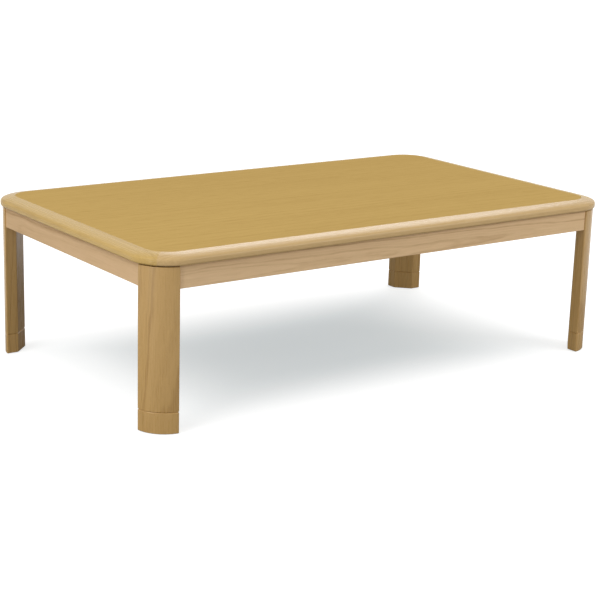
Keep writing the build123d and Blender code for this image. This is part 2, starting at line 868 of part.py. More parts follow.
with BuildPart() as inlet_pins:
    for y in (-inlet_pin_spacing / 2, inlet_pin_spacing / 2):
        rod(
            (inlet_x, y, inlet_bottom + inlet_depth + inlet_pin_root),
            DOWN,
            inlet_pin_radius,
            inlet_pin_length + inlet_pin_root,
        )
    fillet(inlet_pins.edges().group_by(Axis.Z)[0], inlet_pin_radius / 2)
save(inlet_pins, "inlet_pins")

with BuildPart() as thermostat:
    rod((0, thermostat_place, reflector_upper), UP, thermostat_radius, thermostat_height)
    fillet(thermostat.edges().group_by(Axis.Z)[-1], thermostat_edge_radius)
save(thermostat, "thermostat")

with BuildPart() as thermal_fuse:
    start = (-fuse_offset, thermostat_place - fuse_length / 2, reflector_upper + fuse_radius)
    rod(start, (0, 1, 0), fuse_radius, fuse_length)
save(thermal_fuse, "thermal_fuse")

with BuildPart() as terminal_block:
    with BuildSketch(Plane.XY.offset(reflector_upper)):
        with Locations((0, -terminal_place)):
            Rectangle(terminal_length, terminal_width)
    extrude(amount=terminal_height)
    with BuildSketch(Plane.XY.offset(reflector_upper + terminal_height)):
        with Locations((0, -terminal_place)):
            with GridLocations(terminal_hole_pitch, 0, terminal_hole_count, 1):
                Circle(terminal_hole_radius)
    extrude(amount=-terminal_hole_depth, mode=Mode.SUBTRACT)
save(terminal_block, "terminal_block")


def lead(*points):
    """One insulated lead along straight runs with equal bends."""
    with BuildLine() as path:
        FilletPolyline(*points, radius=lead_bend)
    with BuildSketch(Plane(origin=path.line @ 0, z_dir=path.line % 0)) as section:
        Circle(lead_radius)
    sweep(section.sketch, path=path.line)


with BuildPart() as heater_leads:
    lane = case_side / 2 - lead_margin
    outer_lane = lane + lead_lane_step
    high = inlet_top + lead_rise
    pin_y = inlet_pin_spacing / 2
    block_level = reflector_upper + terminal_height / 2
    block_face = -(terminal_place + terminal_width / 2)
    holder_face = -(holder_inner + holder_depth)
    terminals = centred_steps(terminal_hole_count, terminal_hole_pitch)
    sensor_level = reflector_upper + thermostat_height / 2
    lead(
        (inlet_x, pin_y, inlet_top),
        (inlet_x, pin_y, high),
        (inlet_x, lane, high),
        (0, lane, sensor_level),
        (0, thermostat_place + thermostat_radius, sensor_level),
    )
    lead(
        (inlet_x, -pin_y, inlet_top),
        (inlet_x, -pin_y, high),
        (inlet_x, -lane, high),
        (terminals[0], -lane, block_level),
        (terminals[0], block_face, block_level),
    )
    for x, terminal in zip(tube_places, (terminals[1], terminals[3])):
        lead(
            (x, holder_face, tube_level),
            (x, -outer_lane, tube_level),
            (terminal, -outer_lane, block_level),
            (terminal, block_face, block_level),
        )
save(heater_leads, "heater_leads")
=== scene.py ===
"""Looks of a kotatsu table: its wood, its hardware, its fan heater and a plain stage.

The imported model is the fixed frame. Most pieces keep their own shape and get a finish here;
coils, screws, bolts, nuts and the fan wheel are modelled in more detail and stand for theirs.
Metres, with the floor at z = 0 and the table's length along X.
"""

import math
from typing import NamedTuple

import bmesh
import bpy
from mathutils import Euler, Matrix, Vector


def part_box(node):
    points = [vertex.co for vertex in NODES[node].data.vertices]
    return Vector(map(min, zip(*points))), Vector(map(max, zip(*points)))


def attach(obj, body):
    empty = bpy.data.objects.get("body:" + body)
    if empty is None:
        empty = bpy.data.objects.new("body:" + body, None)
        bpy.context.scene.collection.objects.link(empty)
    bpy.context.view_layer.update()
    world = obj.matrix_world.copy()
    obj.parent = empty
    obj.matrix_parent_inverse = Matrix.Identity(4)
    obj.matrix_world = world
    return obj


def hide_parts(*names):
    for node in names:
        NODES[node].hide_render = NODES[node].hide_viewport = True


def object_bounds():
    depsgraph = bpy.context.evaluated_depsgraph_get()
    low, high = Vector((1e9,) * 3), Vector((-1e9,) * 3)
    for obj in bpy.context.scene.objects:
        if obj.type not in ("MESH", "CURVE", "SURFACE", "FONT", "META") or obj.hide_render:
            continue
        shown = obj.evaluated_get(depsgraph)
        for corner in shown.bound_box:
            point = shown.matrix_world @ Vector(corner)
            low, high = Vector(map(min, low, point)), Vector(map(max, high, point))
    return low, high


bl_info = {
    "name": "Kotatsu Table Looks",
    "version": (1, 0, 0),
    "blender": (4, 5, 0),
    "location": "3D View > Sidebar > Kotatsu",
    "description": "Finishes the wood, hardware and heater of a kotatsu table and stages it",
    "category": "Object",
}

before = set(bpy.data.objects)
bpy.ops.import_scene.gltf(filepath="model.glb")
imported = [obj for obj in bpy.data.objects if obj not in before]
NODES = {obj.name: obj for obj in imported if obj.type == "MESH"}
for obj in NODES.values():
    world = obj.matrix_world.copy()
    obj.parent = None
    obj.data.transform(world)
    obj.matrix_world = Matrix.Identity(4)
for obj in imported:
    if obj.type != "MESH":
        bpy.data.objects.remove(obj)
CAD_LOW, CAD_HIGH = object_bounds()
CORNERS = ("front_left", "front_right", "back_right", "back_left")
MM = 0.001
SEED = 7
SHARP_ANGLE = math.radians(35)


def paint(red, green, blue):
    """Linear colour of a paint given by its screen values, 0 to 255."""
    shares = [value / 255 for value in (red, green, blue)]
    return [s / 12.92 if s <= 0.04045 else ((s + 0.055) / 1.055) ** 2.4 for s in shares]


# ---------------------------------------------------------------- settings


def length_setting(name, description, default):
    return bpy.props.FloatProperty(
        name=name, description=description, default=default, min=0.0, unit="LENGTH", precision=5
    )


def share_setting(name, description, default):
    return bpy.props.FloatProperty(
        name=name, description=description, default=default, min=0.0, max=1.0, subtype="FACTOR"
    )


def colour_setting(name, description, screen_colour):
    return bpy.props.FloatVectorProperty(
        name=name,
        description=description,
        default=paint(*screen_colour),
        min=0.0,
        max=1.0,
        size=3,
        subtype="COLOR",
    )


class KotatsuWood(bpy.types.PropertyGroup):
    veneer: colour_setting("Veneer", "Oak veneer of the tabletop's flat field", (192, 160, 97))
    # The long sides' lipping is a paler, pinker copy of the short sides' oak: painted sheen over the
    # wood's own colour.
    lipping_with_painted_sheen: colour_setting("Lipping", "Solid oak lippings of the tabletop's long sides", (195, 164, 114))
    side_lipping: colour_setting("Side Lipping", "Solid oak lippings of its short sides", (192, 160, 96))
    # The front and back rails and the side rails are a lit and a shaded copy of one oak: the front and
    # back painted paler, the sides painted darker.
    rail: colour_setting("Rail", "Oak of the front and back rails", (221, 188, 145))
    side_rail: colour_setting("Side Rail", "Oak of the two side rails", (205, 173, 133))
    leg: colour_setting("Leg", "Oak of the legs and their extension feet", (184, 148, 92))
    backing: colour_setting("Backing", "Plain veneer under the tabletop", (196, 172, 132))
    lattice: colour_setting("Lattice", "Planed softwood of the crossbars and blocks", (211, 184, 140))
    dowel: colour_setting("Dowel", "Beech of the dowels", (205, 168, 130))


class KotatsuHardware(bpy.types.PropertyGroup):
    thread_pitch: length_setting("Thread Pitch", "Pitch of the leg bolts' thread", 1.25 * MM)
    thread_depth: length_setting("Thread Depth", "Depth of the leg bolts' thread", 0.6 * MM)
    thread_length: length_setting("Thread Length", "Length of thread cut at each bolt's end", 15 * MM)
    nut_chamfer: length_setting("Nut Chamfer", "Height of the chamfer at a nut's two ends", 0.7 * MM)
    screw_head: length_setting("Wood Screw Head", "Height of a wood screw's head", 2.6 * MM)
    screw_shank: length_setting("Wood Screw Shank", "Radius of a wood screw's shank", 2 * MM)
    pan_head: length_setting("Pan Head", "Height of a machine screw's head", 1.8 * MM)
    pan_shank: length_setting("Machine Screw Shank", "Radius of a machine screw's shank", 1.5 * MM)
    recess_width: length_setting("Recess Width", "Width of a cross recess's slots", 0.9 * MM)
    recess_depth: length_setting("Recess Depth", "Depth of a cross recess", 1.2 * MM)


class KotatsuHeater(bpy.types.PropertyGroup):
    coil_length: length_setting("Coil Length", "Length of each heating coil's winding", 200 * MM)
    coil_pitch: length_setting("Coil Pitch", "Distance between turns of the heating coils", 1.25 * MM)
    coil_wire: length_setting("Coil Wire", "Radius of the heating wire", 0.28 * MM)
    hub_radius: length_setting("Hub Radius", "Radius of the fan's hub", 12 * MM)
    blade_chord: length_setting("Blade Chord", "Width of a fan blade", 15 * MM)
    blade_camber: length_setting("Blade Camber", "Height of a fan blade's curve", 1.3 * MM)
    blade_sheet: length_setting("Blade Sheet", "Thickness of a fan blade", 0.7 * MM)
    blade_count: bpy.props.IntProperty(name="Blades", description="Number of fan blades", default=5, min=2)
    terminal_pitch: length_setting("Terminal Pitch", "Distance between the terminals", 9 * MM)
    terminal_count: bpy.props.IntProperty(
        name="Terminals", description="Number of screws on the terminal block", default=4, min=1
    )


class KotatsuStage(bpy.types.PropertyGroup):
    camera_place: bpy.props.FloatVectorProperty(
        name="Camera Place",
        description="Where the camera stands",
        default=(-2.286, -3.155, 1.1806),
        size=3,
        subtype="TRANSLATION",
        unit="LENGTH",
    )
    camera_turn: bpy.props.FloatVectorProperty(
        name="Camera Turn",
        description="Pitch below level, lean and heading from +Y towards +X",
        default=[math.radians(angle) for angle in (15.12, 1.69, 35.87)],
        size=3,
        subtype="EULER",
        unit="ROTATION",
    )
    focal_length: bpy.props.FloatProperty(
        name="Focal Length",
        description="The lens on a 36 mm wide sensor",
        default=94.7,
        min=1.0,
        unit="CAMERA",
    )
    low_sky: share_setting("Low Sky", "Strength of the even light near the horizon", 0.14)
    high_sky: share_setting("High Sky", "Strength of the even light overhead", 0.8)
    lamps: share_setting("Lamps", "Share of their full glow that the soft lamps give", 1.0)
    floor_reach: length_setting("Floor Reach", "From the middle of the pale floor to its sides", 40.0)


# ---------------------------------------------------------------- node writing


class Channel:
    """One output in a node tree. Arithmetic on it adds Math nodes."""

    def __init__(self, sheet, socket):
        self.sheet = sheet
        self.socket = socket

    def maths(self, operation, first, second=0.0):
        return self.sheet.maths(operation, first, second)

    def __add__(self, other):
        return self.maths("ADD", self, other)

    def __radd__(self, other):
        return self.maths("ADD", other, self)

    def __sub__(self, other):
        return self.maths("SUBTRACT", self, other)

    def __rsub__(self, other):
        return self.maths("SUBTRACT", other, self)

    def __mul__(self, other):
        return self.maths("MULTIPLY", self, other)

    def __rmul__(self, other):
        return self.maths("MULTIPLY", other, self)

    def __truediv__(self, other):
        return self.maths("DIVIDE", self, other)

    def __rtruediv__(self, other):
        return self.maths("DIVIDE", other, self)

    def __neg__(self):
        return self.maths("MULTIPLY", self, -1.0)

    def __pow__(self, power):
        return self.maths("POWER", self, power)

    def fraction(self):
        return self.maths("FRACT", self)

    def sine(self):
        return self.maths("SINE", self)

    def cosine(self):
        return self.maths("COSINE", self)

    def rise(self, start, end):
        """0 up to start, 1 from end on, smooth between."""
        settings = {"interpolation_type": "SMOOTHSTEP"}
        return self.sheet.node("ShaderNodeMapRange", settings, {0: self, 1: start, 2: end})


class Sheet:
    """A node tree that is written in Python."""

    def __init__(self, tree):
        self.tree = tree

    def node(self, kind, settings=None, inputs=None, output=0):
        """Add a node: its settings come first, then its sockets' values or links.

        A list of links goes to a socket that takes several.
        """
        added = self.tree.nodes.new(kind)
        for key, value in (settings or {}).items():
            if key == "stops":
                self.set_stops(added.color_ramp, value)
            else:
                setattr(added, key, value)
        for key, value in (inputs or {}).items():
            for source in value if isinstance(value, list) else [value]:
                if isinstance(source, Channel):
                    self.tree.links.new(source.socket, added.inputs[key])
                else:
                    added.inputs[key].default_value = source
        return Channel(self, added.outputs[output]) if added.outputs else added

    def maths(self, operation, first, second=0.0):
        return self.node("ShaderNodeMath", {"operation": operation}, {0: first, 1: second})

    def parts(self, vector):
        """The three numbers of a vector."""
        split = self.node("ShaderNodeSeparateXYZ", None, {0: vector}).socket.node
        return [Channel(self, socket) for socket in split.outputs]

    def vector(self, x, y, z):
        return self.node("ShaderNodeCombineXYZ", None, {0: x, 1: y, 2: z})

    @staticmethod
    def set_stops(ramp, stops):
        while len(ramp.elements) < len(stops):
            ramp.elements.new(1.0)
        for element, (position, colour) in zip(ramp.elements, stops):
            element.position = position
            element.color = (*colour, 1.0)


class Finish(Sheet):
    """A material under way."""

    def __init__(self, name):
        self.material = bpy.data.materials.new(name)
        self.material.use_nodes = True
        super().__init__(self.material.node_tree)
        self.tree.nodes.clear()

    def place(self):
        """Position on the piece, in metres."""
        return self.node("ShaderNodeTexCoord", output="Object")

    def mapped(self, turn=(0, 0, 0), location=(0, 0, 0), scale=(1, 1, 1)):
        """The piece's own position, scaled, turned and then moved."""
        inputs = {"Vector": self.place(), "Location": location, "Rotation": turn, "Scale": scale}
        return self.node("ShaderNodeMapping", None, inputs)

    def noise(self, vector, scale, detail=2.0, roughness=0.5):
        """Soft noise from 0 to 1, about 0.5 in the middle."""
        inputs = {"Vector": vector, "Scale": scale, "Detail": detail, "Roughness": roughness}
        return self.node("ShaderNodeTexNoise", None, inputs, "Fac")

    def mix(self, share, first, second):
        """The first colour, with a share of the second.

        The Mix node has sockets of the same name for each kind of value: 6, 7 and 2 are for colours.
        """
        colours = [c if isinstance(c, Channel) else (*c, 1.0) for c in (first, second)]
        inputs = {0: share, 6: colours[0], 7: colours[1]}
        return self.node("ShaderNodeMix", {"data_type": "RGBA"}, inputs, 2)

    def ramp(self, tone, stops):
        """The colour that a tone from 0 to 1 has between the stops."""
        return self.node("ShaderNodeValToRGB", {"stops": stops}, {0: tone})

    def bump(self, height, distance, strength):
        inputs = {"Height": height, "Distance": distance, "Strength": strength}
        return self.node("ShaderNodeBump", None, inputs)

    def surface(self, **inputs):
        """Close the material with a Principled shader; names use _ for a space."""
        named = {key.replace("_", " "): value for key, value in inputs.items()}
        if not isinstance(named["Base Color"], Channel):
            named["Base Color"] = (*named["Base Color"], 1.0)
        shader = self.node("ShaderNodeBsdfPrincipled", None, named)
        self.node("ShaderNodeOutputMaterial", None, {"Surface": shader})
        return self.material


def wear(node, material):
    """Give a CAD node a finish."""
    slots = NODES[node].data.materials
    slots.clear()
    slots.append(material)


# ---------------------------------------------------------------- wood


class Cut(NamedTuple):
    """How a piece lay in the log. The grain runs along its axis."""

    axis: str
    heart_across: float  # from the tree's heart to the piece's middle, across the grain
    heart_depth: float  # the same, the other way across
    ring_width: float
    lean: float  # how much a ring's radius changes along the grain
    ring_contrast: float
    streak_contrast: float


class Varnish(NamedTuple):
    """How shiny a varnished piece is."""

    roughness: float
    shine: float


class Figure(NamedTuple):
    """Noise that is drawn out along the grain, in waves per metre along and across it."""

    along: float
    across: float
    strength: float = 1.0  # how far it moves a ring, in metres, or how much it counts in the tone
    detail: float = 2.0
    roughness: float = 0.5


MATT = Varnish(roughness=0.55, shine=0.0)
SATIN = Varnish(roughness=0.28, shine=0.32)
SOFT_SATIN = Varnish(roughness=0.27, shine=0.15)

FIELD_CUT = Cut(
    axis="X",
    heart_across=0.55,
    heart_depth=0.30,
    ring_width=0.009,
    lean=0.006,
    ring_contrast=0.13,
    streak_contrast=0.62,
)
LIPPING_CUT = Cut(
    axis="X",
    heart_across=0.12,
    heart_depth=0.05,
    ring_width=0.007,
    lean=0.008,
    ring_contrast=0.2,
    streak_contrast=0.5,
)
RAIL_CUT = Cut(
    axis="X",
    heart_across=0.030,
    heart_depth=0.012,
    ring_width=0.006,
    lean=0.016,
    ring_contrast=0.4,
    streak_contrast=0.55,
)
LEG_CUT = Cut(
    axis="Z",
    heart_across=0.012,
    heart_depth=0.036,
    ring_width=0.006,
    lean=0.030,
    ring_contrast=0.38,
    streak_contrast=0.36,
)
FOOT_CUT = LEG_CUT._replace(heart_across=0.030, heart_depth=0.026)
LEAN_STEP = 0.006  # how much more each next leg leans in its log

OAK_SWAY = Figure(along=1.6, across=9.0, strength=0.022, detail=3.0, roughness=0.55)
OAK_RIPPLE = Figure(along=12.0, across=40.0, strength=0.004)
OAK_BOARD = Figure(along=1.3, across=11.0, strength=0.2)
OAK_STREAK = Figure(along=17.0, across=330.0, detail=3.0, roughness=0.65)
OAK_FIBRE = Figure(along=55.0, across=1500.0, strength=0.16)
OAK_PORES = Figure(along=95.0, across=1900.0, strength=0.16, detail=1.0)
OAK_RING_ROUGHNESS = 0.6
OAK_LATE_WOOD = (0.42, 0.68)  # where a ring starts to darken, and where it is darkest
OAK_PORE_EDGE = (0.64, 0.74)
OAK_USUAL_LATE_WOOD = 0.4  # the share of late wood that leaves the tone in the middle
OAK_LATE_PORES = 0.35  # the share of the pores that late wood keeps
OAK_FIBRE_HEIGHT = 0.3
OAK_LATE_WOOD_DEPTH = 0.15
OAK_RELIEF = 0.06 * MM
OAK_GLOSS_SPREAD = 0.12
OAK_DARK = (0.66, 0.58, 0.50)  # shares of a colour's red, green and blue
OAK_PALE = (1.17, 1.19, 1.26)
VARNISH_IOR = 1.5
BACKING_EDGE = (0.2 * MM, 0.4 * MM)  # heights above the underside between which backing ends

PINE_HEART = Vector((0.0, 0.09, 0.05))
PINE_SWAY = Figure(along=2.5, across=18.0, strength=0.014, detail=3.0)
PINE_FIBRE = Figure(along=40.0, across=1100.0, strength=0.4, detail=3.0)
PINE_RING_WIDTH = 0.006
PINE_LEAN = 0.012
PINE_LATE_WOOD = (0.4, 0.75)
PINE_EARLY_TONE = 0.64
PINE_RING_CONTRAST = 0.26
PINE_MIDDLE_TONE = 0.6
PINE_LATE_WOOD_DEPTH = 0.3
PINE_RELIEF = 0.05 * MM
PINE_ROUGHNESS = 0.66
PINE_GLOSS_SPREAD = 0.12
PINE_SHINE = 0.25
PINE_DARK = (0.68, 0.56, 0.44)
PINE_PALE = (1.08, 1.1, 1.12)

RELIEF_STRENGTH = 0.6
GRAIN_TURNS = {
    "X": (0.0, 0.0, 0.0),
    "Y": (0.0, 0.0, -math.pi / 2),
    "Z": (0.0, math.pi / 2, 0.0),
}


def laid_along(node, axis):
    """The turn that lays a piece's grain along X, and the piece's middle after it."""
    turn = Euler(GRAIN_TURNS[axis])
    low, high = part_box(node)
    return turn, turn.to_matrix() @ ((low + high) / 2)


def shades(colour, dark, pale, middle=0.5):
    """Stops from a darker to a paler share of a colour, with the colour itself at the middle tone."""
    return [
        (0.0, [c * share for c, share in zip(colour, dark)]),
        (middle, colour),
        (1.0, [min(1.0, c * share) for c, share in zip(colour, pale)]),
    ]


class Grain:
    """A piece's place in its log: along the grain, and both ways across it from the heart."""

    def __init__(self, finish, turn, heart):
        self.finish = finish
        self.along, self.across, self.depth = finish.parts(finish.mapped(turn, heart))

    def drawn(self, figure):
        """The figure's noise, from 0 to 1."""
        across = figure.across
        place = self.finish.vector(self.along * figure.along, self.across * across, self.depth * across)
        return self.finish.noise(place, 1.0, figure.detail, figure.roughness)

    def wave(self, figure):
        """The figure's noise about zero, at its strength."""
        return (self.drawn(figure) - 0.5) * figure.strength

    def reach(self):
        """Distance from the heart."""
        return (self.across * self.across + self.depth * self.depth) ** 0.5

    def rings(self, radius, width, detail=2.0, roughness=0.5):
        """Noise that changes with the radius alone."""
        return self.finish.noise(self.finish.vector(radius / width, 0.0, 0.0), 1.0, detail, roughness)


def oak(name, node, cut, colour, varnish, backing=None):
    """Varnished oak whose rings, fibres and pores follow the grain through the solid."""
    finish = Finish(name)
    turn, middle = laid_along(node, cut.axis)
    heart = Vector((0.0, cut.heart_across, cut.heart_depth)) - Vector((0.0, middle.y, middle.z))
    grain = Grain(finish, turn, heart)
    radius = grain.reach() + grain.along * cut.lean + grain.wave(OAK_SWAY) + grain.wave(OAK_RIPPLE)
    late_wood = grain.rings(radius, cut.ring_width, roughness=OAK_RING_ROUGHNESS).rise(*OAK_LATE_WOOD)
    streak = grain.drawn(OAK_STREAK)
    fibre = grain.drawn(OAK_FIBRE)
    pore_share = OAK_LATE_PORES + (1.0 - OAK_LATE_PORES) * (1.0 - late_wood)
    pore = grain.drawn(OAK_PORES).rise(*OAK_PORE_EDGE) * pore_share

    tone = 0.5 - (late_wood - OAK_USUAL_LATE_WOOD) * cut.ring_contrast
    tone = tone + (streak - 0.5) * cut.streak_contrast + grain.wave(OAK_BOARD)
    tone = tone + (fibre - 0.5) * OAK_FIBRE.strength - pore * OAK_PORES.strength
    face = finish.ramp(tone, shades(colour, OAK_DARK, OAK_PALE))
    if backing:
        level = finish.parts(finish.place())[2]
        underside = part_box(node)[0].z
        face = finish.mix(level.rise(*(underside + edge for edge in BACKING_EDGE)), backing, face)
    height = fibre * OAK_FIBRE_HEIGHT - pore - late_wood * OAK_LATE_WOOD_DEPTH
    return finish.surface(
        Base_Color=face,
        Roughness=varnish.roughness + (streak - 0.5) * OAK_GLOSS_SPREAD + pore * OAK_GLOSS_SPREAD,
        Normal=finish.bump(height, OAK_RELIEF, RELIEF_STRENGTH),
        Specular_IOR_Level=varnish.shine,
        IOR=VARNISH_IOR,
    )


def softwood(name, node, axis, colour):
    """Planed softwood: straight wide rings and no varnish."""
    finish = Finish(name)
    turn, middle = laid_along(node, axis)
    grain = Grain(finish, turn, PINE_HEART - middle)
    radius = grain.reach() + grain.wave(PINE_SWAY) + grain.along * PINE_LEAN
    late_wood = grain.rings(radius, PINE_RING_WIDTH, detail=1.0).rise(*PINE_LATE_WOOD)
    fibre = grain.drawn(PINE_FIBRE)
    tone = PINE_EARLY_TONE - late_wood * PINE_RING_CONTRAST + (fibre - 0.5) * PINE_FIBRE.strength
    height = fibre - late_wood * PINE_LATE_WOOD_DEPTH
    return finish.surface(
        Base_Color=finish.ramp(tone, shades(colour, PINE_DARK, PINE_PALE, PINE_MIDDLE_TONE)),
        Roughness=PINE_ROUGHNESS + fibre * PINE_GLOSS_SPREAD,
        Normal=finish.bump(height, PINE_RELIEF, RELIEF_STRENGTH),
        Specular_IOR_Level=PINE_SHINE,
    )


class KOTATSU_OT_finish_tabletop(bpy.types.Operator):
    """Veneer the flat field and finish the four lippings"""

    bl_idname = "kotatsu.finish_tabletop"
    bl_label = "Finish Tabletop"

    def execute(self, context):
        wood = context.scene.kotatsu_wood
        veneer = oak("veneered_oak", "top_panel", FIELD_CUT, wood.veneer, MATT, wood.backing)
        wear("top_panel", veneer)
        # The long sides take the oak with painted sheen; the short sides take the plain lipping oak.
        for side, axis, colour in (
            ("front", "X", wood.lipping_with_painted_sheen),
            ("back", "X", wood.lipping_with_painted_sheen),
            ("left", "Y", wood.side_lipping),
            ("right", "Y", wood.side_lipping),
        ):
            node = "edge_" + side
            wear(node, oak("oak_" + node, node, LIPPING_CUT._replace(axis=axis), colour, SOFT_SATIN))
        return {"FINISHED"}


class KOTATSU_OT_finish_legs(bpy.types.Operator):
    """Finish the legs and their extension feet, with the grain upright"""

    bl_idname = "kotatsu.finish_legs"
    bl_label = "Finish Legs and Feet"

    def execute(self, context):
        wood = context.scene.kotatsu_wood
        for index, corner in enumerate(CORNERS):
            lean = LEG_CUT.lean + LEAN_STEP * index
            inwards_x = -1 if "right" in corner else 1
            inwards_y = -1 if "back" in corner else 1
            for part, cut, slope in (("leg_", LEG_CUT, lean), ("foot_", FOOT_CUT, -lean)):
                across = -cut.heart_across * inwards_y
                depth = cut.heart_depth * inwards_x
                cut = cut._replace(heart_across=across, heart_depth=depth, lean=slope)
                node = part + corner
                wear(node, oak("oak_" + node, node, cut, wood.leg, SATIN))
        return {"FINISHED"}


class KOTATSU_OT_finish_rails(bpy.types.Operator):
    """Finish the four rails, with the grain along each"""

    bl_idname = "kotatsu.finish_rails"
    bl_label = "Finish Rails"

    def execute(self, context):
        wood = context.scene.kotatsu_wood
        # Front and back rails take the paler, painted-light copy of the oak; the side rails take the
        # darker, painted-shade copy.
        for side, axis, colour in (
            ("front", "X", wood.rail),
            ("back", "X", wood.rail),
            ("left", "Y", wood.side_rail),
            ("right", "Y", wood.side_rail),
        ):
            node = "rail_" + side
            wear(node, oak("oak_" + node, node, RAIL_CUT._replace(axis=axis), colour, MATT))
        return {"FINISHED"}


class KOTATSU_OT_finish_lattice(bpy.types.Operator):
    """Finish the crossbars, spacers, corner blocks and dowels"""

    bl_idname = "kotatsu.finish_lattice"
    bl_label = "Finish Lattice and Blocks"

    def execute(self, context):
        wood = context.scene.kotatsu_wood
        for node, axis in (
            ("crossbar_left", "Y"),
            ("crossbar_right", "Y"),
            ("spacer_front", "X"),
            ("spacer_back", "X"),
        ):
            wear(node, softwood("pine_" + node, node, axis, wood.lattice))
        for corner in CORNERS:
            node = "corner_block_" + corner
            wear(node, softwood("pine_" + node, node, "X", wood.lattice))
        wear("rail_dowels", softwood("beech_dowels", "rail_dowels", "X", wood.dowel))
        return {"FINISHED"}


# ---------------------------------------------------------------- metal, plastic, glass


class Metal(NamedTuple):
    """A bare or plated metal. Its marks are in waves per metre along X, Y and Z."""

    name: str
    colour: tuple  # screen values
    roughness: float
    marks: tuple = (90.0, 90.0, 90.0)


class Moulding(NamedTuple):
    """A plastic, a rubber, a coating or a fired clay."""

    name: str
    colour: tuple  # screen values
    roughness: float
    grain_size: float = 0.7 * MM
    grain_depth: float = 0.03 * MM
    shine: float = 0.4


ZINC = Metal("bright_zinc", (198, 197, 190), 0.32, (260.0, 260.0, 260.0))
HEATING_WIRE = Metal("heating_wire", (112, 100, 92), 0.42, (500.0, 500.0, 500.0))
FAN_SHEET = Metal("pressed_aluminium", (208, 210, 213), 0.3, (60.0, 60.0, 400.0))
TERMINAL_BRASS = Metal("terminal_brass", (212, 180, 108), 0.25)
GLIDE = Moulding("glide_moulding", (206, 198, 180), 0.48)
HEATER_METALS = {
    "reflector": Metal("polished_reflector", (226, 227, 230), 0.2, (400.0, 6.0, 60.0)),
    "motor_bracket": Metal("bracket_steel", (186, 186, 184), 0.36),
    "fan_motor": Metal("motor_can", (176, 176, 178), 0.3, (40.0, 40.0, 700.0)),
    "fan_shaft": Metal("shaft_steel", (190, 190, 192), 0.2, (50.0, 50.0, 900.0)),
    "inlet_pins": Metal("pin_brass", (214, 184, 116), 0.22, (60.0, 60.0, 700.0)),
    "thermal_fuse": Metal("fuse_can", (206, 200, 188), 0.3),
}
HEATER_MOULDINGS = {
    "heater_bezel": Moulding("bezel_moulding", (62, 54, 50), 0.52),
    "guard": Moulding("baked_coating", (78, 66, 58), 0.38, 0.4 * MM, 0.02 * MM, shine=0.5),
    "tube_holders": Moulding("fired_ceramic", (236, 232, 222), 0.6, 0.5 * MM, 0.05 * MM, shine=0.3),
    "inlet_socket": Moulding("inlet_plastic", (48, 44, 42), 0.45),
    "thermostat": Moulding("thermostat_body", (228, 222, 208), 0.5),
    "terminal_block": Moulding("terminal_body", (232, 226, 214), 0.5),
    "heater_leads": Moulding("silicone_sleeve", (224, 220, 208), 0.62, 0.6 * MM, 0.04 * MM, shine=0.3),
}
CASE_COLOUR = (176, 178, 176)
QUARTZ_COLOUR = (0.95, 0.95, 0.96)
QUARTZ_IOR = 1.46
FINE_RELIEF = 0.5  # strength of the finest bumps
METAL_DULLNESS = 0.82  # how bright the marks on a metal are, as a share of its colour
METAL_MARK_NOISE = {"detail": 3.0, "roughness": 0.6}
METAL_MARK_EDGE = (0.35, 0.75)
METAL_MARK_DEPTH = 0.01 * MM
METAL_GLOSS_SPREAD = 0.25
CRYSTALS_PER_METRE = 160.0
CRYSTAL_DULLNESS = 0.78
CRYSTAL_ROUGHNESS = (0.34, 0.16)  # of the glossiest crystal, and how much more the dullest has
CLOUDS_PER_METRE = 22.0
CLOUD_EDGE = (0.3, 0.7)
CLOUD_DEPTH = 0.88
MOULDED_GLOSS_SPREAD = 0.2
HAZE_PER_METRE = 60.0
HAZE_ROUGHNESS = (0.04, 0.06)  # of the clearest quartz, and how much more the haziest has


def plain_metal(metal):
    """Metal whose shine is broken by faint rolling or plating marks."""
    finish = Finish(metal.name)
    colour = paint(*metal.colour)
    marks = finish.noise(finish.mapped(scale=metal.marks), 1.0, **METAL_MARK_NOISE)
    dull = [c * METAL_DULLNESS for c in colour]
    return finish.surface(
        Base_Color=finish.mix(marks.rise(*METAL_MARK_EDGE), dull, colour),
        Metallic=1.0,
        Roughness=metal.roughness + (marks - 0.5) * METAL_GLOSS_SPREAD,
        Normal=finish.bump(marks, METAL_MARK_DEPTH, FINE_RELIEF),
    )


def spangled_steel(name, colour):
    """Galvanised sheet, with the zinc's crystals showing as faint facets."""
    finish = Finish(name)
    inputs = {"Vector": finish.place(), "Scale": CRYSTALS_PER_METRE}
    shade = finish.parts(finish.node("ShaderNodeTexVoronoi", None, inputs, "Color"))[0]
    dull = [c * CRYSTAL_DULLNESS for c in colour]
    glossiest, spread = CRYSTAL_ROUGHNESS
    return finish.surface(
        Base_Color=finish.mix(shade, dull, colour),
        Metallic=1.0,
        Roughness=glossiest + shade * spread,
    )


def moulded(moulding):
    """Moulded plastic, rubber, coating or fired clay with a fine even texture."""
    finish = Finish(moulding.name)
    colour = paint(*moulding.colour)
    texture = finish.noise(finish.place(), 1.0 / moulding.grain_size)
    cloud = finish.noise(finish.place(), CLOUDS_PER_METRE)
    deep = [c * CLOUD_DEPTH for c in colour]
    return finish.surface(
        Base_Color=finish.mix(cloud.rise(*CLOUD_EDGE), deep, colour),
        Roughness=moulding.roughness + (texture - 0.5) * MOULDED_GLOSS_SPREAD,
        Normal=finish.bump(texture, moulding.grain_depth, FINE_RELIEF),
        Specular_IOR_Level=moulding.shine,
    )


def quartz(name):
    """Clear fused quartz."""
    finish = Finish(name)
    clearest, spread = HAZE_ROUGHNESS
    return finish.surface(
        Base_Color=QUARTZ_COLOUR,
        Roughness=clearest + finish.noise(finish.place(), HAZE_PER_METRE) * spread,
        IOR=QUARTZ_IOR,
        Transmission_Weight=1.0,
    )


def zinc_plate():
    """The one zinc finish of all steel fasteners."""
    return bpy.data.materials.get(ZINC.name) or plain_metal(ZINC)


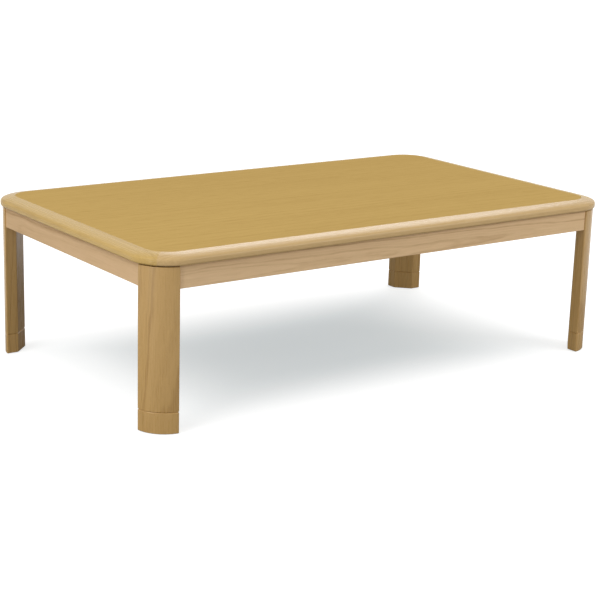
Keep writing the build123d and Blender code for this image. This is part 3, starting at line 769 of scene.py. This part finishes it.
class KOTATSU_OT_finish_heater(bpy.types.Operator):
    """Finish the heater's casing, guard, reflector, glass and small parts"""

    bl_idname = "kotatsu.finish_heater"
    bl_label = "Finish Heater"

    def execute(self, context):
        wear("heater_case", spangled_steel("galvanised_sheet", paint(*CASE_COLOUR)))
        wear("quartz_tubes", quartz("clear_quartz"))
        for node, metal in HEATER_METALS.items():
            wear(node, plain_metal(metal))
        for node, moulding in HEATER_MOULDINGS.items():
            wear(node, moulded(moulding))
        return {"FINISHED"}


class KOTATSU_OT_finish_hardware(bpy.types.Operator):
    """Finish the washers, foot pins, sockets and glides"""

    bl_idname = "kotatsu.finish_hardware"
    bl_label = "Finish Hardware"

    def execute(self, context):
        wear("leg_washers", zinc_plate())
        wear("foot_sockets", zinc_plate())
        glide = moulded(GLIDE)
        for corner in CORNERS:
            wear("foot_pin_" + corner, zinc_plate())
            wear("glide_" + corner, glide)
        return {"FINISHED"}


# ---------------------------------------------------------------- modelled pieces

SAME_CORNER = 0.01 * MM  # corners of a CAD solid that are nearer than this are one
ROUND_SIDES = 32


class Station(NamedTuple):
    """Where one solid of a CAD node stands."""

    place: Vector  # the middle of the end that it shows
    facing: Vector  # from its hidden end to the end that it shows
    length: float
    radius: float


def solids(node):
    """Corners of each separate solid in a CAD node, in the mesh's own order."""
    shape = bmesh.new()
    shape.from_mesh(NODES[node].data)
    bmesh.ops.remove_doubles(shape, verts=shape.verts, dist=SAME_CORNER)
    found = []
    for start in shape.verts:
        if start.tag:
            continue
        start.tag = True
        reached = [start]
        for corner in reached:
            for edge in corner.link_edges:
                other = edge.other_vert(corner)
                if not other.tag:
                    other.tag = True
                    reached.append(other)
        found.append([corner.co.copy() for corner in reached])
    shape.free()
    return found


def stations(node, facing):
    """A station for each solid; facing gives its direction from its middle and its size."""
    found = []
    for corners in solids(node):
        low, high = (Vector(map(pick, zip(*corners))) for pick in (min, max))
        direction = facing((low + high) / 2, high - low)
        turn = direction.to_track_quat("Z", "Y").to_matrix()
        seen = [turn.transposed() @ corner for corner in corners]
        near, far = (Vector(map(pick, zip(*seen))) for pick in (min, max))
        end = Vector(((near.x + far.x) / 2, (near.y + far.y) / 2, far.z))
        found.append(Station(turn @ end, direction, far.z - near.z, (far.x - near.x) / 2))
    return found


def facing_down(middle, size):
    return Vector((0.0, 0.0, -1.0))


def facing_up(middle, size):
    return Vector((0.0, 0.0, 1.0))


def facing_back(middle, size):
    return Vector((0.0, 1.0, 0.0))


def facing_inside(middle, size):
    """Along the diagonal from a corner of the table to its inside."""
    return Vector((-math.copysign(1.0, middle.x), -math.copysign(1.0, middle.y), 0.0)).normalized()


def facing_off_rail(middle, size):
    """Along the solid's own length, away from the nearer rail."""
    if size.x > size.y:
        return Vector((-math.copysign(1.0, middle.x), 0.0, 0.0))
    return Vector((0.0, -math.copysign(1.0, middle.y), 0.0))


class Bench(Sheet):
    """A Geometry Nodes tree under way. Its sizes are its modifier's inputs.

    A piece is modelled below z = 0, with the end that it shows at z = 0.
    """

    def __init__(self, name, sizes):
        super().__init__(bpy.data.node_groups.new(name, "GeometryNodeTree"))
        self.name = name
        self.socket("Piece", "OUTPUT", "NodeSocketGeometry")
        self.socket("Stations", "INPUT", "NodeSocketGeometry")
        self.values = {}
        for label, value in sizes.items():
            kind = "NodeSocketInt" if isinstance(value, int) else "NodeSocketFloat"
            self.values[self.socket(label, "INPUT", kind).identifier] = value
        self.given = self.tree.nodes.new("NodeGroupInput").outputs

    def socket(self, label, side, kind):
        return self.tree.interface.new_socket(label, in_out=side, socket_type=kind)

    def sizes(self, *labels):
        return [Channel(self, self.given[label]) for label in labels]

    def position(self):
        return self.parts(self.node("GeometryNodeInputPosition"))

    def lifted(self, shape, height):
        inputs = {0: shape, "Translation": self.vector(0.0, 0.0, height)}
        return self.node("GeometryNodeTransform", None, inputs)

    def reshaped(self, shape, x, y, z):
        return self.node("GeometryNodeSetPosition", None, {0: shape, "Position": self.vector(x, y, z)})

    def cylinder(self, radius, bottom, top, sides=ROUND_SIDES, rows=1, rings=1):
        sizes = {
            "Vertices": sides,
            "Side Segments": rows,
            "Fill Segments": rings,
            "Radius": radius,
            "Depth": top - bottom,
        }
        shape = self.node("GeometryNodeMeshCylinder", None, sizes)
        return self.lifted(shape, (top + bottom) / 2)

    def cone(self, bottom_radius, top_radius, bottom, top, sides=ROUND_SIDES):
        sizes = {
            "Vertices": sides,
            "Radius Bottom": bottom_radius,
            "Radius Top": top_radius,
            "Depth": top - bottom,
        }
        return self.lifted(self.node("GeometryNodeMeshCone", None, sizes), bottom)

    def block(self, width, length, height):
        return self.node("GeometryNodeMeshCube", None, {"Size": self.vector(width, length, height)})

    def joined(self, *shapes):
        return self.node("GeometryNodeJoinGeometry", None, {0: list(shapes)})

    def common(self, *shapes):
        settings = {"operation": "INTERSECT", "solver": "EXACT"}
        return self.node("GeometryNodeMeshBoolean", settings, {1: list(shapes)})

    def cut(self, shape, *cutters):
        settings = {"operation": "DIFFERENCE", "solver": "EXACT"}
        return self.node("GeometryNodeMeshBoolean", settings, {0: shape, 1: list(cutters)})

    def turned(self, angle):
        inputs = {"Axis": (0.0, 0.0, 1.0), "Angle": angle}
        return self.node("FunctionNodeAxisAngleToRotation", None, inputs)

    def deliver(self, shape, places, material, slot, node, body="frame", loose_turn=0.0):
        """Set the shape at every station, make one mesh of it and put it in the CAD node's place."""
        self.set_out(shape, material, loose_turn)
        piece = self.made(places)
        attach(piece, body)
        if node:
            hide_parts(node)

    def set_out(self, shape, material, loose_turn):
        """The tree's last nodes: the shape at every station, each at its own turn about its axis.

        Random Value has sockets of the same name for each kind of value: 2, 3 and 1 are for numbers.
        """
        named = {"Name": "facing"}
        facing = self.node("GeometryNodeInputNamedAttribute", {"data_type": "FLOAT_VECTOR"}, named)
        upright = self.node("FunctionNodeAlignRotationToVector", {"axis": "Z"}, {"Vector": facing})
        spin = self.node("FunctionNodeRandomValue", None, {2: 0.0, 3: loose_turn, "Seed": SEED}, 1)
        about_own_axis = {"rotation_space": "LOCAL"}
        spun = self.node("FunctionNodeRotateRotation", about_own_axis, {0: upright, 1: self.turned(spin)})
        points = Channel(self, self.given["Stations"])
        inputs = {"Points": points, "Instance": shape, "Rotation": spun}
        placed = self.node("GeometryNodeInstanceOnPoints", None, inputs)
        whole = self.node("GeometryNodeRealizeInstances", None, {0: placed})
        painted = self.node("GeometryNodeSetMaterial", None, {0: whole, "Material": material})
        self.node("NodeGroupOutput", None, {0: painted})

    def made(self, places):
        """The plain mesh that the tree makes of the stations, as an object."""
        mesh = bpy.data.meshes.new(self.name)
        mesh.from_pydata([station.place for station in places], [], [])
        facings = mesh.attributes.new("facing", "FLOAT_VECTOR", "POINT")
        for spot, station in zip(facings.data, places):
            spot.vector = station.facing
        piece = bpy.data.objects.new(self.name, mesh)
        bpy.context.scene.collection.objects.link(piece)
        modifier = piece.modifiers.new(self.name, "NODES")
        modifier.node_group = self.tree
        for identifier, value in self.values.items():
            modifier[identifier] = value
        evaluated = piece.evaluated_get(bpy.context.evaluated_depsgraph_get())
        finished = bpy.data.meshes.new_from_object(evaluated)
        piece.modifiers.clear()
        piece.data = finished
        finished.materials.pop(index=0)  # the stations' own slot, which is empty
        finished.shade_smooth()
        finished.set_sharp_from_angle(angle=SHARP_ANGLE)
        return piece


# Shapes of the small pieces. A share's comment ends with what it is a share of.
COIL_STEPS = 12  # corners in a turn of the heating wire
WIRE_SIDES = 6
BOLT_SIDES = 24
THREAD_ROWS = 8  # rows of corners in a turn of thread
NUT_TOOL_SIDES = 48  # of the round tools that chamfer and bore a nut
NUT_TOOL_OVERRUN = 2  # how far those tools run on, with the chamfer as 1 up to the nut's face
NUT_CORNER_ROOM = 1.02  # radius of the chamfering tool's middle, of the nut's corners
NUT_FACE = 0.97  # radius of a nut's flat face, of its flats
NUT_MOUTH = 0.8  # widening of the bore's mouth, of the chamfer's height
DOME_FALL = 0.45  # fall of a domed head at its rim, of the head's height
RECESS_REACH = 1.15  # length of a recess's slots, of the head's radius
DIMPLE_REACH = 0.5  # radius of the recess's pointed middle, of the head's radius
DIMPLE_DEPTH = 1.5  # its depth, of the slots' depth
DIMPLE_SIDES = 8
SHANK_SIDES = 16
TIP_LENGTH = 2  # length of a screw's tip, of the shank's radius
BLUNT_TIP = 0.8  # radius of a machine screw's end, of the shank's radius
ROOT_TILT = math.radians(36)
TIP_TILT = math.radians(22)
BLADE_GRID = {"Vertices X": 17, "Vertices Y": 11}
BLADE_ROOT = 0.9  # where a fan blade starts, of the hub's radius
ROOT_WIDTH = 0.78  # width of a blade at its root, of its chord
WIDTH_GAIN = 0.34  # how much wider it gets outwards, of its chord
TIP_START = 0.78  # where the blade's tip starts to narrow, of its length
TIP_TAPER = 0.34  # how much the tip narrows, of the width there
HUB_SIDES = 40
HUB_FALL = 0.14  # fall of the hub's two ends at their rims, of its height
TERMINAL_SINK = 1.2 * MM  # from the block's top down to the screw's head
TERMINAL_LENGTH = 6 * MM
TERMINAL_RADIUS = 2 * MM
TERMINAL_SIDES = 28
TERMINAL_SLOT = (3, 0.4, 1)  # length, width and twice the depth of its slot, of its radius
WELD = 0.001 * MM


def wind_coils(heater):
    """Heating wire, wound in a tight helix with a straight tail at each end."""
    places = stations("heating_coils", facing_back)
    sizes = {
        "Whole Length": places[0].length,
        "Coil Length": heater.coil_length,
        "Coil Radius": places[0].radius - heater.coil_wire,
        "Coil Pitch": heater.coil_pitch,
        "Wire Radius": heater.coil_wire,
    }
    bench = Bench("wound_coils", sizes)
    whole, length, radius, pitch, wire = bench.sizes(*sizes)
    turns = bench.maths("ROUND", length / pitch)
    tail = (whole - length) / 2
    spiral = {
        "Resolution": COIL_STEPS,
        "Rotations": turns,
        "Start Radius": radius,
        "End Radius": radius,
        "Height": length,
    }
    helix = bench.lifted(bench.node("GeometryNodeCurveSpiral", None, spiral), tail - whole)
    near_tail, far_tail = (
        bench.node(
            "GeometryNodeCurvePrimitiveLine",
            None,
            {"Start": bench.vector(radius, 0.0, start), "End": bench.vector(0.0, 0.0, end)},
        )
        for start, end in ((-tail, 0.0), (tail - whole, -whole))
    )
    circle = {"Resolution": WIRE_SIDES, "Radius": wire}
    section = bench.node("GeometryNodeCurvePrimitiveCircle", None, circle)
    wires = bench.node(
        "GeometryNodeCurveToMesh",
        None,
        {0: bench.joined(helix, near_tail, far_tail), 1: section, "Fill Caps": True},
    )
    bench.deliver(wires, places, plain_metal(HEATING_WIRE), "coil_wire", "heating_coils")


def cut_threads(hardware, zinc):
    """Leg bolts: a plain shank, and a thread with a lead-in where the nut runs."""
    places = stations("leg_bolts", facing_inside)
    sizes = {
        "Bolt Length": places[0].length,
        "Bolt Radius": places[0].radius,
        "Thread Length": hardware.thread_length,
        "Thread Pitch": hardware.thread_pitch,
        "Thread Depth": hardware.thread_depth,
    }
    bench = Bench("threaded_bolts", sizes)
    length, radius, threaded, pitch, depth = bench.sizes(*sizes)
    rows = bench.maths("ROUND", threaded / pitch) * THREAD_ROWS
    blank = bench.cylinder(radius, -threaded, 0.0, sides=BOLT_SIDES, rows=rows)
    x, y, z = bench.position()
    phase = (z / pitch - bench.maths("ARCTAN2", y, x) / math.tau).fraction()
    tooth = bench.maths("ABSOLUTE", phase * 2 - 1)
    crest = bench.maths("MINIMUM", radius - depth * tooth, radius - depth - z)
    share = crest / radius
    thread = bench.reshaped(blank, x * share, y * share, z)
    shank = bench.cylinder(radius, -length, -threaded, sides=BOLT_SIDES)
    bench.deliver(bench.joined(thread, shank), places, zinc, "zinc_steel", "leg_bolts")


def shape_nuts(hardware, zinc):
    """Hexagon nuts, chamfered at both ends, with a countersunk bore."""
    places = stations("leg_nuts", facing_inside)
    bore = stations("leg_bolts", facing_inside)[0].radius
    sizes = {
        "Nut Height": places[0].length,
        "Corner Radius": places[0].radius,
        "Bore Radius": bore,
        "Chamfer": hardware.nut_chamfer,
    }
    bench = Bench("chamfered_nuts", sizes)
    height, corner, bore, chamfer = bench.sizes(*sizes)
    x, y, z = bench.position()
    middle = -height / 2
    at_end = bench.maths("GREATER_THAN", bench.maths("ABSOLUTE", z - middle), height / 3)
    side = bench.maths("SIGN", z - middle)

    def waisted(radius, end_radius):
        """A cylinder that has another radius at the nut's ends, and runs on past them."""
        blank = bench.cylinder(1.0, -height, 0.0, sides=NUT_TOOL_SIDES, rows=3)
        wide = radius + (end_radius - radius) * NUT_TOOL_OVERRUN * at_end
        level = middle + side * (height / 2 - chamfer + chamfer * NUT_TOOL_OVERRUN * at_end)
        return bench.reshaped(blank, x * wide, y * wide, level)

    flats = corner * math.cos(math.pi / 6)
    hexagon = bench.cylinder(corner, -height, 0.0, sides=6)
    nut = bench.common(hexagon, waisted(corner * NUT_CORNER_ROOM, flats * NUT_FACE))
    nut = bench.cut(nut, waisted(bore, bore + chamfer * NUT_MOUTH))
    bench.deliver(nut, places, zinc, "zinc_steel", "leg_nuts", loose_turn=math.tau)


def drive_screws(name, node, facing, hardware, zinc, pan):
    """Cross-recessed screws with a countersunk head, or a domed one that stands on its seat."""
    places = stations(node, facing)
    sizes = {
        "Screw Length": places[0].length,
        "Head Radius": places[0].radius,
        "Head Height": hardware.pan_head if pan else hardware.screw_head,
        "Shank Radius": hardware.pan_shank if pan else hardware.screw_shank,
        "Recess Width": hardware.recess_width,
        "Recess Depth": hardware.recess_depth,
    }
    bench = Bench(name, sizes)
    length, head_radius, head_height, shank_radius, width, depth = bench.sizes(*sizes)
    if pan:
        blank = bench.cylinder(head_radius, -head_height, 0.0, rings=4)
        x, y, z = bench.position()
        rim = (x * x + y * y) / (head_radius * head_radius)
        at_top = bench.maths("GREATER_THAN", z, -head_height / 2)
        head = bench.reshaped(blank, x, y, z - at_top * rim * rim * head_height * DOME_FALL)
    else:
        head = bench.cone(shank_radius, head_radius, -head_height, 0.0)
    reach = head_radius * RECESS_REACH
    cross = (bench.block(reach, width, depth * 2), bench.block(width, reach, depth * 2))
    dimple = bench.cone(0.0, head_radius * DIMPLE_REACH, -depth * DIMPLE_DEPTH, depth, sides=DIMPLE_SIDES)
    head = bench.cut(head, *cross, dimple)
    tip = length - shank_radius * TIP_LENGTH
    tip_radius = shank_radius * BLUNT_TIP if pan else 0.0
    shank = bench.cylinder(shank_radius, -tip, -head_height, sides=SHANK_SIDES)
    point = bench.cone(tip_radius, shank_radius, -length, -tip, sides=SHANK_SIDES)
    screw = bench.joined(head, shank, point)
    bench.deliver(screw, places, zinc, "zinc_steel", node, loose_turn=math.tau)


def shape_fan(heater):
    """Fan wheel: a domed hub and blades that are cambered, twisted and wrapped round it."""
    places = stations("fan_rotor", facing_up)
    sizes = {
        "Fan Radius": places[0].radius,
        "Hub Radius": heater.hub_radius,
        "Hub Height": places[0].length,
        "Blades": heater.blade_count,
        "Chord": heater.blade_chord,
        "Camber": heater.blade_camber,
        "Sheet": heater.blade_sheet,
        "Root Tilt": ROOT_TILT,
        "Tip Tilt": TIP_TILT,
    }
    bench = Bench("fan_wheel", sizes)
    radius, hub, height, count, chord, camber, sheet, root_tilt, tip_tilt = bench.sizes(*sizes)
    x, y, z = bench.position()

    blank = bench.node("GeometryNodeMeshGrid", None, {"Size X": 1.0, "Size Y": 2.0, **BLADE_GRID})
    outwards = x + 0.5
    root = hub * BLADE_ROOT
    reach = root + outwards * (radius - root)
    taper = 1.0 - outwards.rise(TIP_START, 1.0) * TIP_TAPER
    across = y * (chord / 2 * (ROOT_WIDTH + outwards * WIDTH_GAIN) * taper)
    lift = camber * (1.0 - y * y)
    tilt = root_tilt + (tip_tilt - root_tilt) * outwards
    angle = (across * tilt.cosine() - lift * tilt.sine()) / reach
    level = across * tilt.sine() + lift * tilt.cosine() - height / 2
    face = bench.reshaped(blank, reach * angle.cosine(), reach * angle.sine(), level)
    thickened = {0: face, "Offset Scale": sheet, "Individual": False}
    front = bench.node("GeometryNodeExtrudeMesh", {"mode": "FACES"}, thickened)
    back = bench.node("GeometryNodeFlipFaces", None, {0: face})
    welded = {0: bench.joined(front, back), "Distance": WELD}
    blade = bench.node("GeometryNodeMergeByDistance", None, welded)
    ring = bench.node("GeometryNodePoints", None, {"Count": count})
    step = bench.node("GeometryNodeInputIndex") * (math.tau / count)
    inputs = {"Points": ring, "Instance": blade, "Rotation": bench.turned(step)}
    blades = bench.node("GeometryNodeInstanceOnPoints", None, inputs)

    drum = bench.cylinder(hub, -height, 0.0, sides=HUB_SIDES, rings=6)
    rim = (x * x + y * y) / (hub * hub)
    side = bench.maths("SIGN", z + height / 2)
    drum = bench.reshaped(drum, x, y, z - side * rim * rim * rim * height * HUB_FALL)
    wheel = bench.joined(blades, drum)
    bench.deliver(wheel, places, plain_metal(FAN_SHEET), "fan_aluminium", "fan_rotor", body="fan")


def set_terminals(heater):
    """Slotted brass screws in the terminal block."""
    low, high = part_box("terminal_block")
    middle = (low + high) / 2
    first = middle.x - heater.terminal_pitch * (heater.terminal_count - 1) / 2
    places = [
        Station(
            Vector((first + index * heater.terminal_pitch, middle.y, high.z - TERMINAL_SINK)),
            Vector((0.0, 0.0, 1.0)),
            TERMINAL_LENGTH,
            TERMINAL_RADIUS,
        )
        for index in range(heater.terminal_count)
    ]
    sizes = {"Screw Length": places[0].length, "Screw Radius": places[0].radius}
    bench = Bench("terminal_screws", sizes)
    length, radius = bench.sizes(*sizes)
    body = bench.cylinder(radius, -length, 0.0, sides=TERMINAL_SIDES)
    screw = bench.cut(body, bench.block(*(radius * share for share in TERMINAL_SLOT)))
    bench.deliver(screw, places, plain_metal(TERMINAL_BRASS), "brass", None, loose_turn=math.tau)


class KOTATSU_OT_fit_bolts(bpy.types.Operator):
    """Model the leg bolts with their thread, and their chamfered nuts"""

    bl_idname = "kotatsu.fit_bolts"
    bl_label = "Fit Bolts and Nuts"

    def execute(self, context):
        hardware = context.scene.kotatsu_hardware
        cut_threads(hardware, zinc_plate())
        shape_nuts(hardware, zinc_plate())
        return {"FINISHED"}


class KOTATSU_OT_fit_screws(bpy.types.Operator):
    """Model the screws with their cross recesses"""

    bl_idname = "kotatsu.fit_screws"
    bl_label = "Fit Screws"

    def execute(self, context):
        hardware = context.scene.kotatsu_hardware
        for name, node, facing, pan in (
            ("recessed_block_screws", "block_screws", facing_off_rail, False),
            ("recessed_heater_screws", "heater_screws", facing_down, False),
            ("recessed_guard_screws", "guard_screws", facing_down, True),
            ("recessed_motor_screws", "motor_screws", facing_down, True),
        ):
            drive_screws(name, node, facing, hardware, zinc_plate(), pan)
        return {"FINISHED"}


class KOTATSU_OT_fit_heater(bpy.types.Operator):
    """Model the heating coils, the fan wheel and the terminal screws"""

    bl_idname = "kotatsu.fit_heater"
    bl_label = "Fit Coils, Fan and Terminals"

    def execute(self, context):
        heater = context.scene.kotatsu_heater
        wind_coils(heater)
        shape_fan(heater)
        set_terminals(heater)
        return {"FINISHED"}


# ---------------------------------------------------------------- stage


class Lamp(NamedTuple):
    """A soft box that faces the table. Its glow is its brightness, with white as 1."""

    name: str
    place: tuple
    width: float
    height: float
    glow: float


LAMPS = (
    Lamp("key_lamp", (-3.0, -0.6, 2.7), 2.2, 2.2, 3.6),
    Lamp("back_lamp", (2.1, 2.2, 2.2), 2.2, 0.9, 3.6),
    Lamp("right_lamp", (2.0, -2.9, 1.9), 2.0, 1.3, 5.7),
    Lamp("left_lamp", (-3.8, -1.2, 0.28), 0.25, 0.5, 62.0),
)
LAMP_TARGET = Vector((0.0, 0.0, 0.35))

# The floor's places are given as shares of the table's half length and half width. A shade is painted into
# the floor's glow under the table, over the real shadow that the lamps cast.
PAINTED_SHADE_POINT = 0.85  # below 1, the shade under the table runs out towards the four feet
PAINTED_SHADE_ROUNDING = 0.06  # keeps a line from showing along the middle of each arm
PAINTED_SHADE_EDGE = (0.38, 1.45)  # where the shade starts to fade, and where it ends
PAINTED_SHADE_COLOUR = (0.421, 0.457, 0.472)
CLEAR_COLOUR = (0.82, 0.82, 0.82)
MIRROR_EDGE = (1.4, 3.0)  # from where to where the floor gets bright in mirrors and glass
BOUNCE_COLOUR = (0.4, 0.4, 0.4)  # of the floor, for the light that it throws back
COVER_COLOUR = (0.5, 0.5, 0.5)  # of the floor where it is seen


def seen_rays(sheet, mirrored=1.0):
    """1 for rays that see the stage directly, and mirrored for those by a mirror or glass."""
    rays = sheet.node("ShaderNodeLightPath").socket.node.outputs
    straight, glossy, through = (
        Channel(sheet, rays[kind]) for kind in ("Is Camera Ray", "Is Glossy Ray", "Is Transmission Ray")
    )
    return sheet.maths("MAXIMUM", straight, sheet.maths("MAXIMUM", glossy, through) * mirrored)


class KOTATSU_OT_set_stage(bpy.types.Operator):
    """Lay the pale floor, light it softly and stand the camera"""

    bl_idname = "kotatsu.set_stage"
    bl_label = "Set Stage"

    def execute(self, context):
        stage = context.scene.kotatsu_stage
        context.scene.view_settings.view_transform = "Standard"
        self.lay_floor(stage)
        self.light(context.scene, stage)
        self.stand_camera(context.scene, stage)
        return {"FINISHED"}

    def lay_floor(self, stage):
        mesh = bpy.data.meshes.new("floor")
        corners = [
            (x * stage.floor_reach, y * stage.floor_reach, 0)
            for x, y in ((-1, -1), (1, -1), (1, 1), (-1, 1))
        ]
        mesh.from_pydata(corners, [], [range(len(corners))])
        floor = bpy.data.objects.new("floor", mesh)
        bpy.context.scene.collection.objects.link(floor)
        mesh.materials.append(self.floor_finish())

    def floor_finish(self):
        """Pale, with a soft shade painted under the table over its real shadow, and open to the camera
        from below.
        """
        finish = Finish("pale_floor")
        x, y = finish.parts(finish.place())[:2]
        x, y = x / CAD_HIGH.x, y / CAD_HIGH.y
        seen = seen_rays(finish, ((x * x + y * y) ** 0.5).rise(*MIRROR_EDGE))
        # The painted shade's outline: a four-pointed star whose points run out to the feet.
        first, second = (
            (slant * slant / 4 + PAINTED_SHADE_ROUNDING**2) ** (PAINTED_SHADE_POINT / 2) for slant in (x + y, x - y)
        )
        # clear is 0 under the table and 1 away from it: the painted shade fades out along it.
        clear = ((first + second) ** (1 / PAINTED_SHADE_POINT)).rise(*PAINTED_SHADE_EDGE)
        cover = {"Color": finish.mix(seen, BOUNCE_COLOUR, COVER_COLOUR)}
        # Painted shade: the floor's glow is mixed from the dark colour under the table to the pale one
        # away from it.
        glow = {"Color": finish.mix(clear, PAINTED_SHADE_COLOUR, CLEAR_COLOUR), "Strength": seen}
        top = finish.node(
            "ShaderNodeAddShader",
            None,
            {
                0: finish.node("ShaderNodeBsdfDiffuse", None, cover),
                1: finish.node("ShaderNodeEmission", None, glow),
            },
        )
        below = finish.node("ShaderNodeNewGeometry", output="Backfacing")
        open_below = below * finish.node("ShaderNodeLightPath", output="Is Camera Ray")
        inputs = {0: open_below, 1: top, 2: finish.node("ShaderNodeBsdfTransparent")}
        both = finish.node("ShaderNodeMixShader", None, inputs)
        finish.node("ShaderNodeOutputMaterial", None, {"Surface": both})
        return finish.material

    def light(self, scene, stage):
        world = bpy.data.worlds.new("white_room")
        world.use_nodes = True
        sheet = Sheet(world.node_tree)
        sheet.tree.nodes.clear()
        seen = seen_rays(sheet)
        direction = sheet.node("ShaderNodeTexCoord", output="Generated")
        height = sheet.node("ShaderNodeSeparateXYZ", None, {0: direction}, "Z").rise(0.0, 1.0)
        glow = stage.low_sky + (stage.high_sky - stage.low_sky) * height
        strength = glow + (1.0 - glow) * seen
        white = (1.0, 1.0, 1.0, 1.0)
        air = sheet.node("ShaderNodeBackground", None, {"Color": white, "Strength": strength})
        sheet.node("ShaderNodeOutputWorld", None, {"Surface": air})
        scene.world = world

        for lamp in LAMPS:
            box = bpy.data.lights.new(lamp.name, "AREA")
            box.shape = "RECTANGLE"
            box.size = lamp.width
            box.size_y = lamp.height
            box.energy = stage.lamps * lamp.glow * math.pi * lamp.width * lamp.height
            holder = bpy.data.objects.new(lamp.name, box)
            holder.location = lamp.place
            holder.rotation_euler = (Vector(lamp.place) - LAMP_TARGET).to_track_quat("Z", "Y").to_euler()
            scene.collection.objects.link(holder)

    def stand_camera(self, scene, stage):
        pitch, lean, heading = stage.camera_turn
        ahead = Vector(
            (
                math.sin(heading) * math.cos(pitch),
                math.cos(heading) * math.cos(pitch),
                -math.sin(pitch),
            )
        )
        level_right = Vector((math.cos(heading), -math.sin(heading), 0.0))
        level_up = level_right.cross(ahead)
        right = level_right * math.cos(lean) + level_up * math.sin(lean)
        up = level_up * math.cos(lean) - level_right * math.sin(lean)
        data = bpy.data.cameras.new("camera")
        data.lens = stage.focal_length
        camera = bpy.data.objects.new("camera", data)
        turn = Matrix((right, up, -ahead)).transposed().to_4x4()
        camera.matrix_world = Matrix.Translation(stage.camera_place) @ turn
        scene.collection.objects.link(camera)
        scene.camera = camera


# ---------------------------------------------------------------- panel and registration


class KOTATSU_PT_looks(bpy.types.Panel):
    """The table's finishes, its modelled pieces and its stage"""

    bl_idname = "KOTATSU_PT_looks"
    bl_label = "Kotatsu"
    bl_space_type = "VIEW_3D"
    bl_region_type = "UI"
    bl_category = "Kotatsu"

    def draw(self, context):
        layout = self.layout
        for settings in SETTINGS:
            group = getattr(context.scene, settings)
            box = layout.box()
            for name in group.__annotations__:
                box.prop(group, name)
        for operator in OPERATORS:
            layout.operator(operator.bl_idname)


SETTINGS = {
    "kotatsu_wood": KotatsuWood,
    "kotatsu_hardware": KotatsuHardware,
    "kotatsu_heater": KotatsuHeater,
    "kotatsu_stage": KotatsuStage,
}
OPERATORS = (
    KOTATSU_OT_set_stage,
    KOTATSU_OT_finish_tabletop,
    KOTATSU_OT_finish_legs,
    KOTATSU_OT_finish_rails,
    KOTATSU_OT_finish_lattice,
    KOTATSU_OT_finish_heater,
    KOTATSU_OT_finish_hardware,
    KOTATSU_OT_fit_bolts,
    KOTATSU_OT_fit_screws,
    KOTATSU_OT_fit_heater,
)


def register():
    for cls in (*SETTINGS.values(), *OPERATORS, KOTATSU_PT_looks):
        bpy.utils.register_class(cls)
    for name, group in SETTINGS.items():
        setattr(bpy.types.Scene, name, bpy.props.PointerProperty(type=group))


def unregister():
    for name in SETTINGS:
        delattr(bpy.types.Scene, name)
    for cls in reversed((*SETTINGS.values(), *OPERATORS, KOTATSU_PT_looks)):
        bpy.utils.unregister_class(cls)


def main():
    register()
    for operator in OPERATORS:
        group, name = operator.bl_idname.split(".")
        getattr(getattr(bpy.ops, group), name)()


if __name__ == "__main__":
    main()
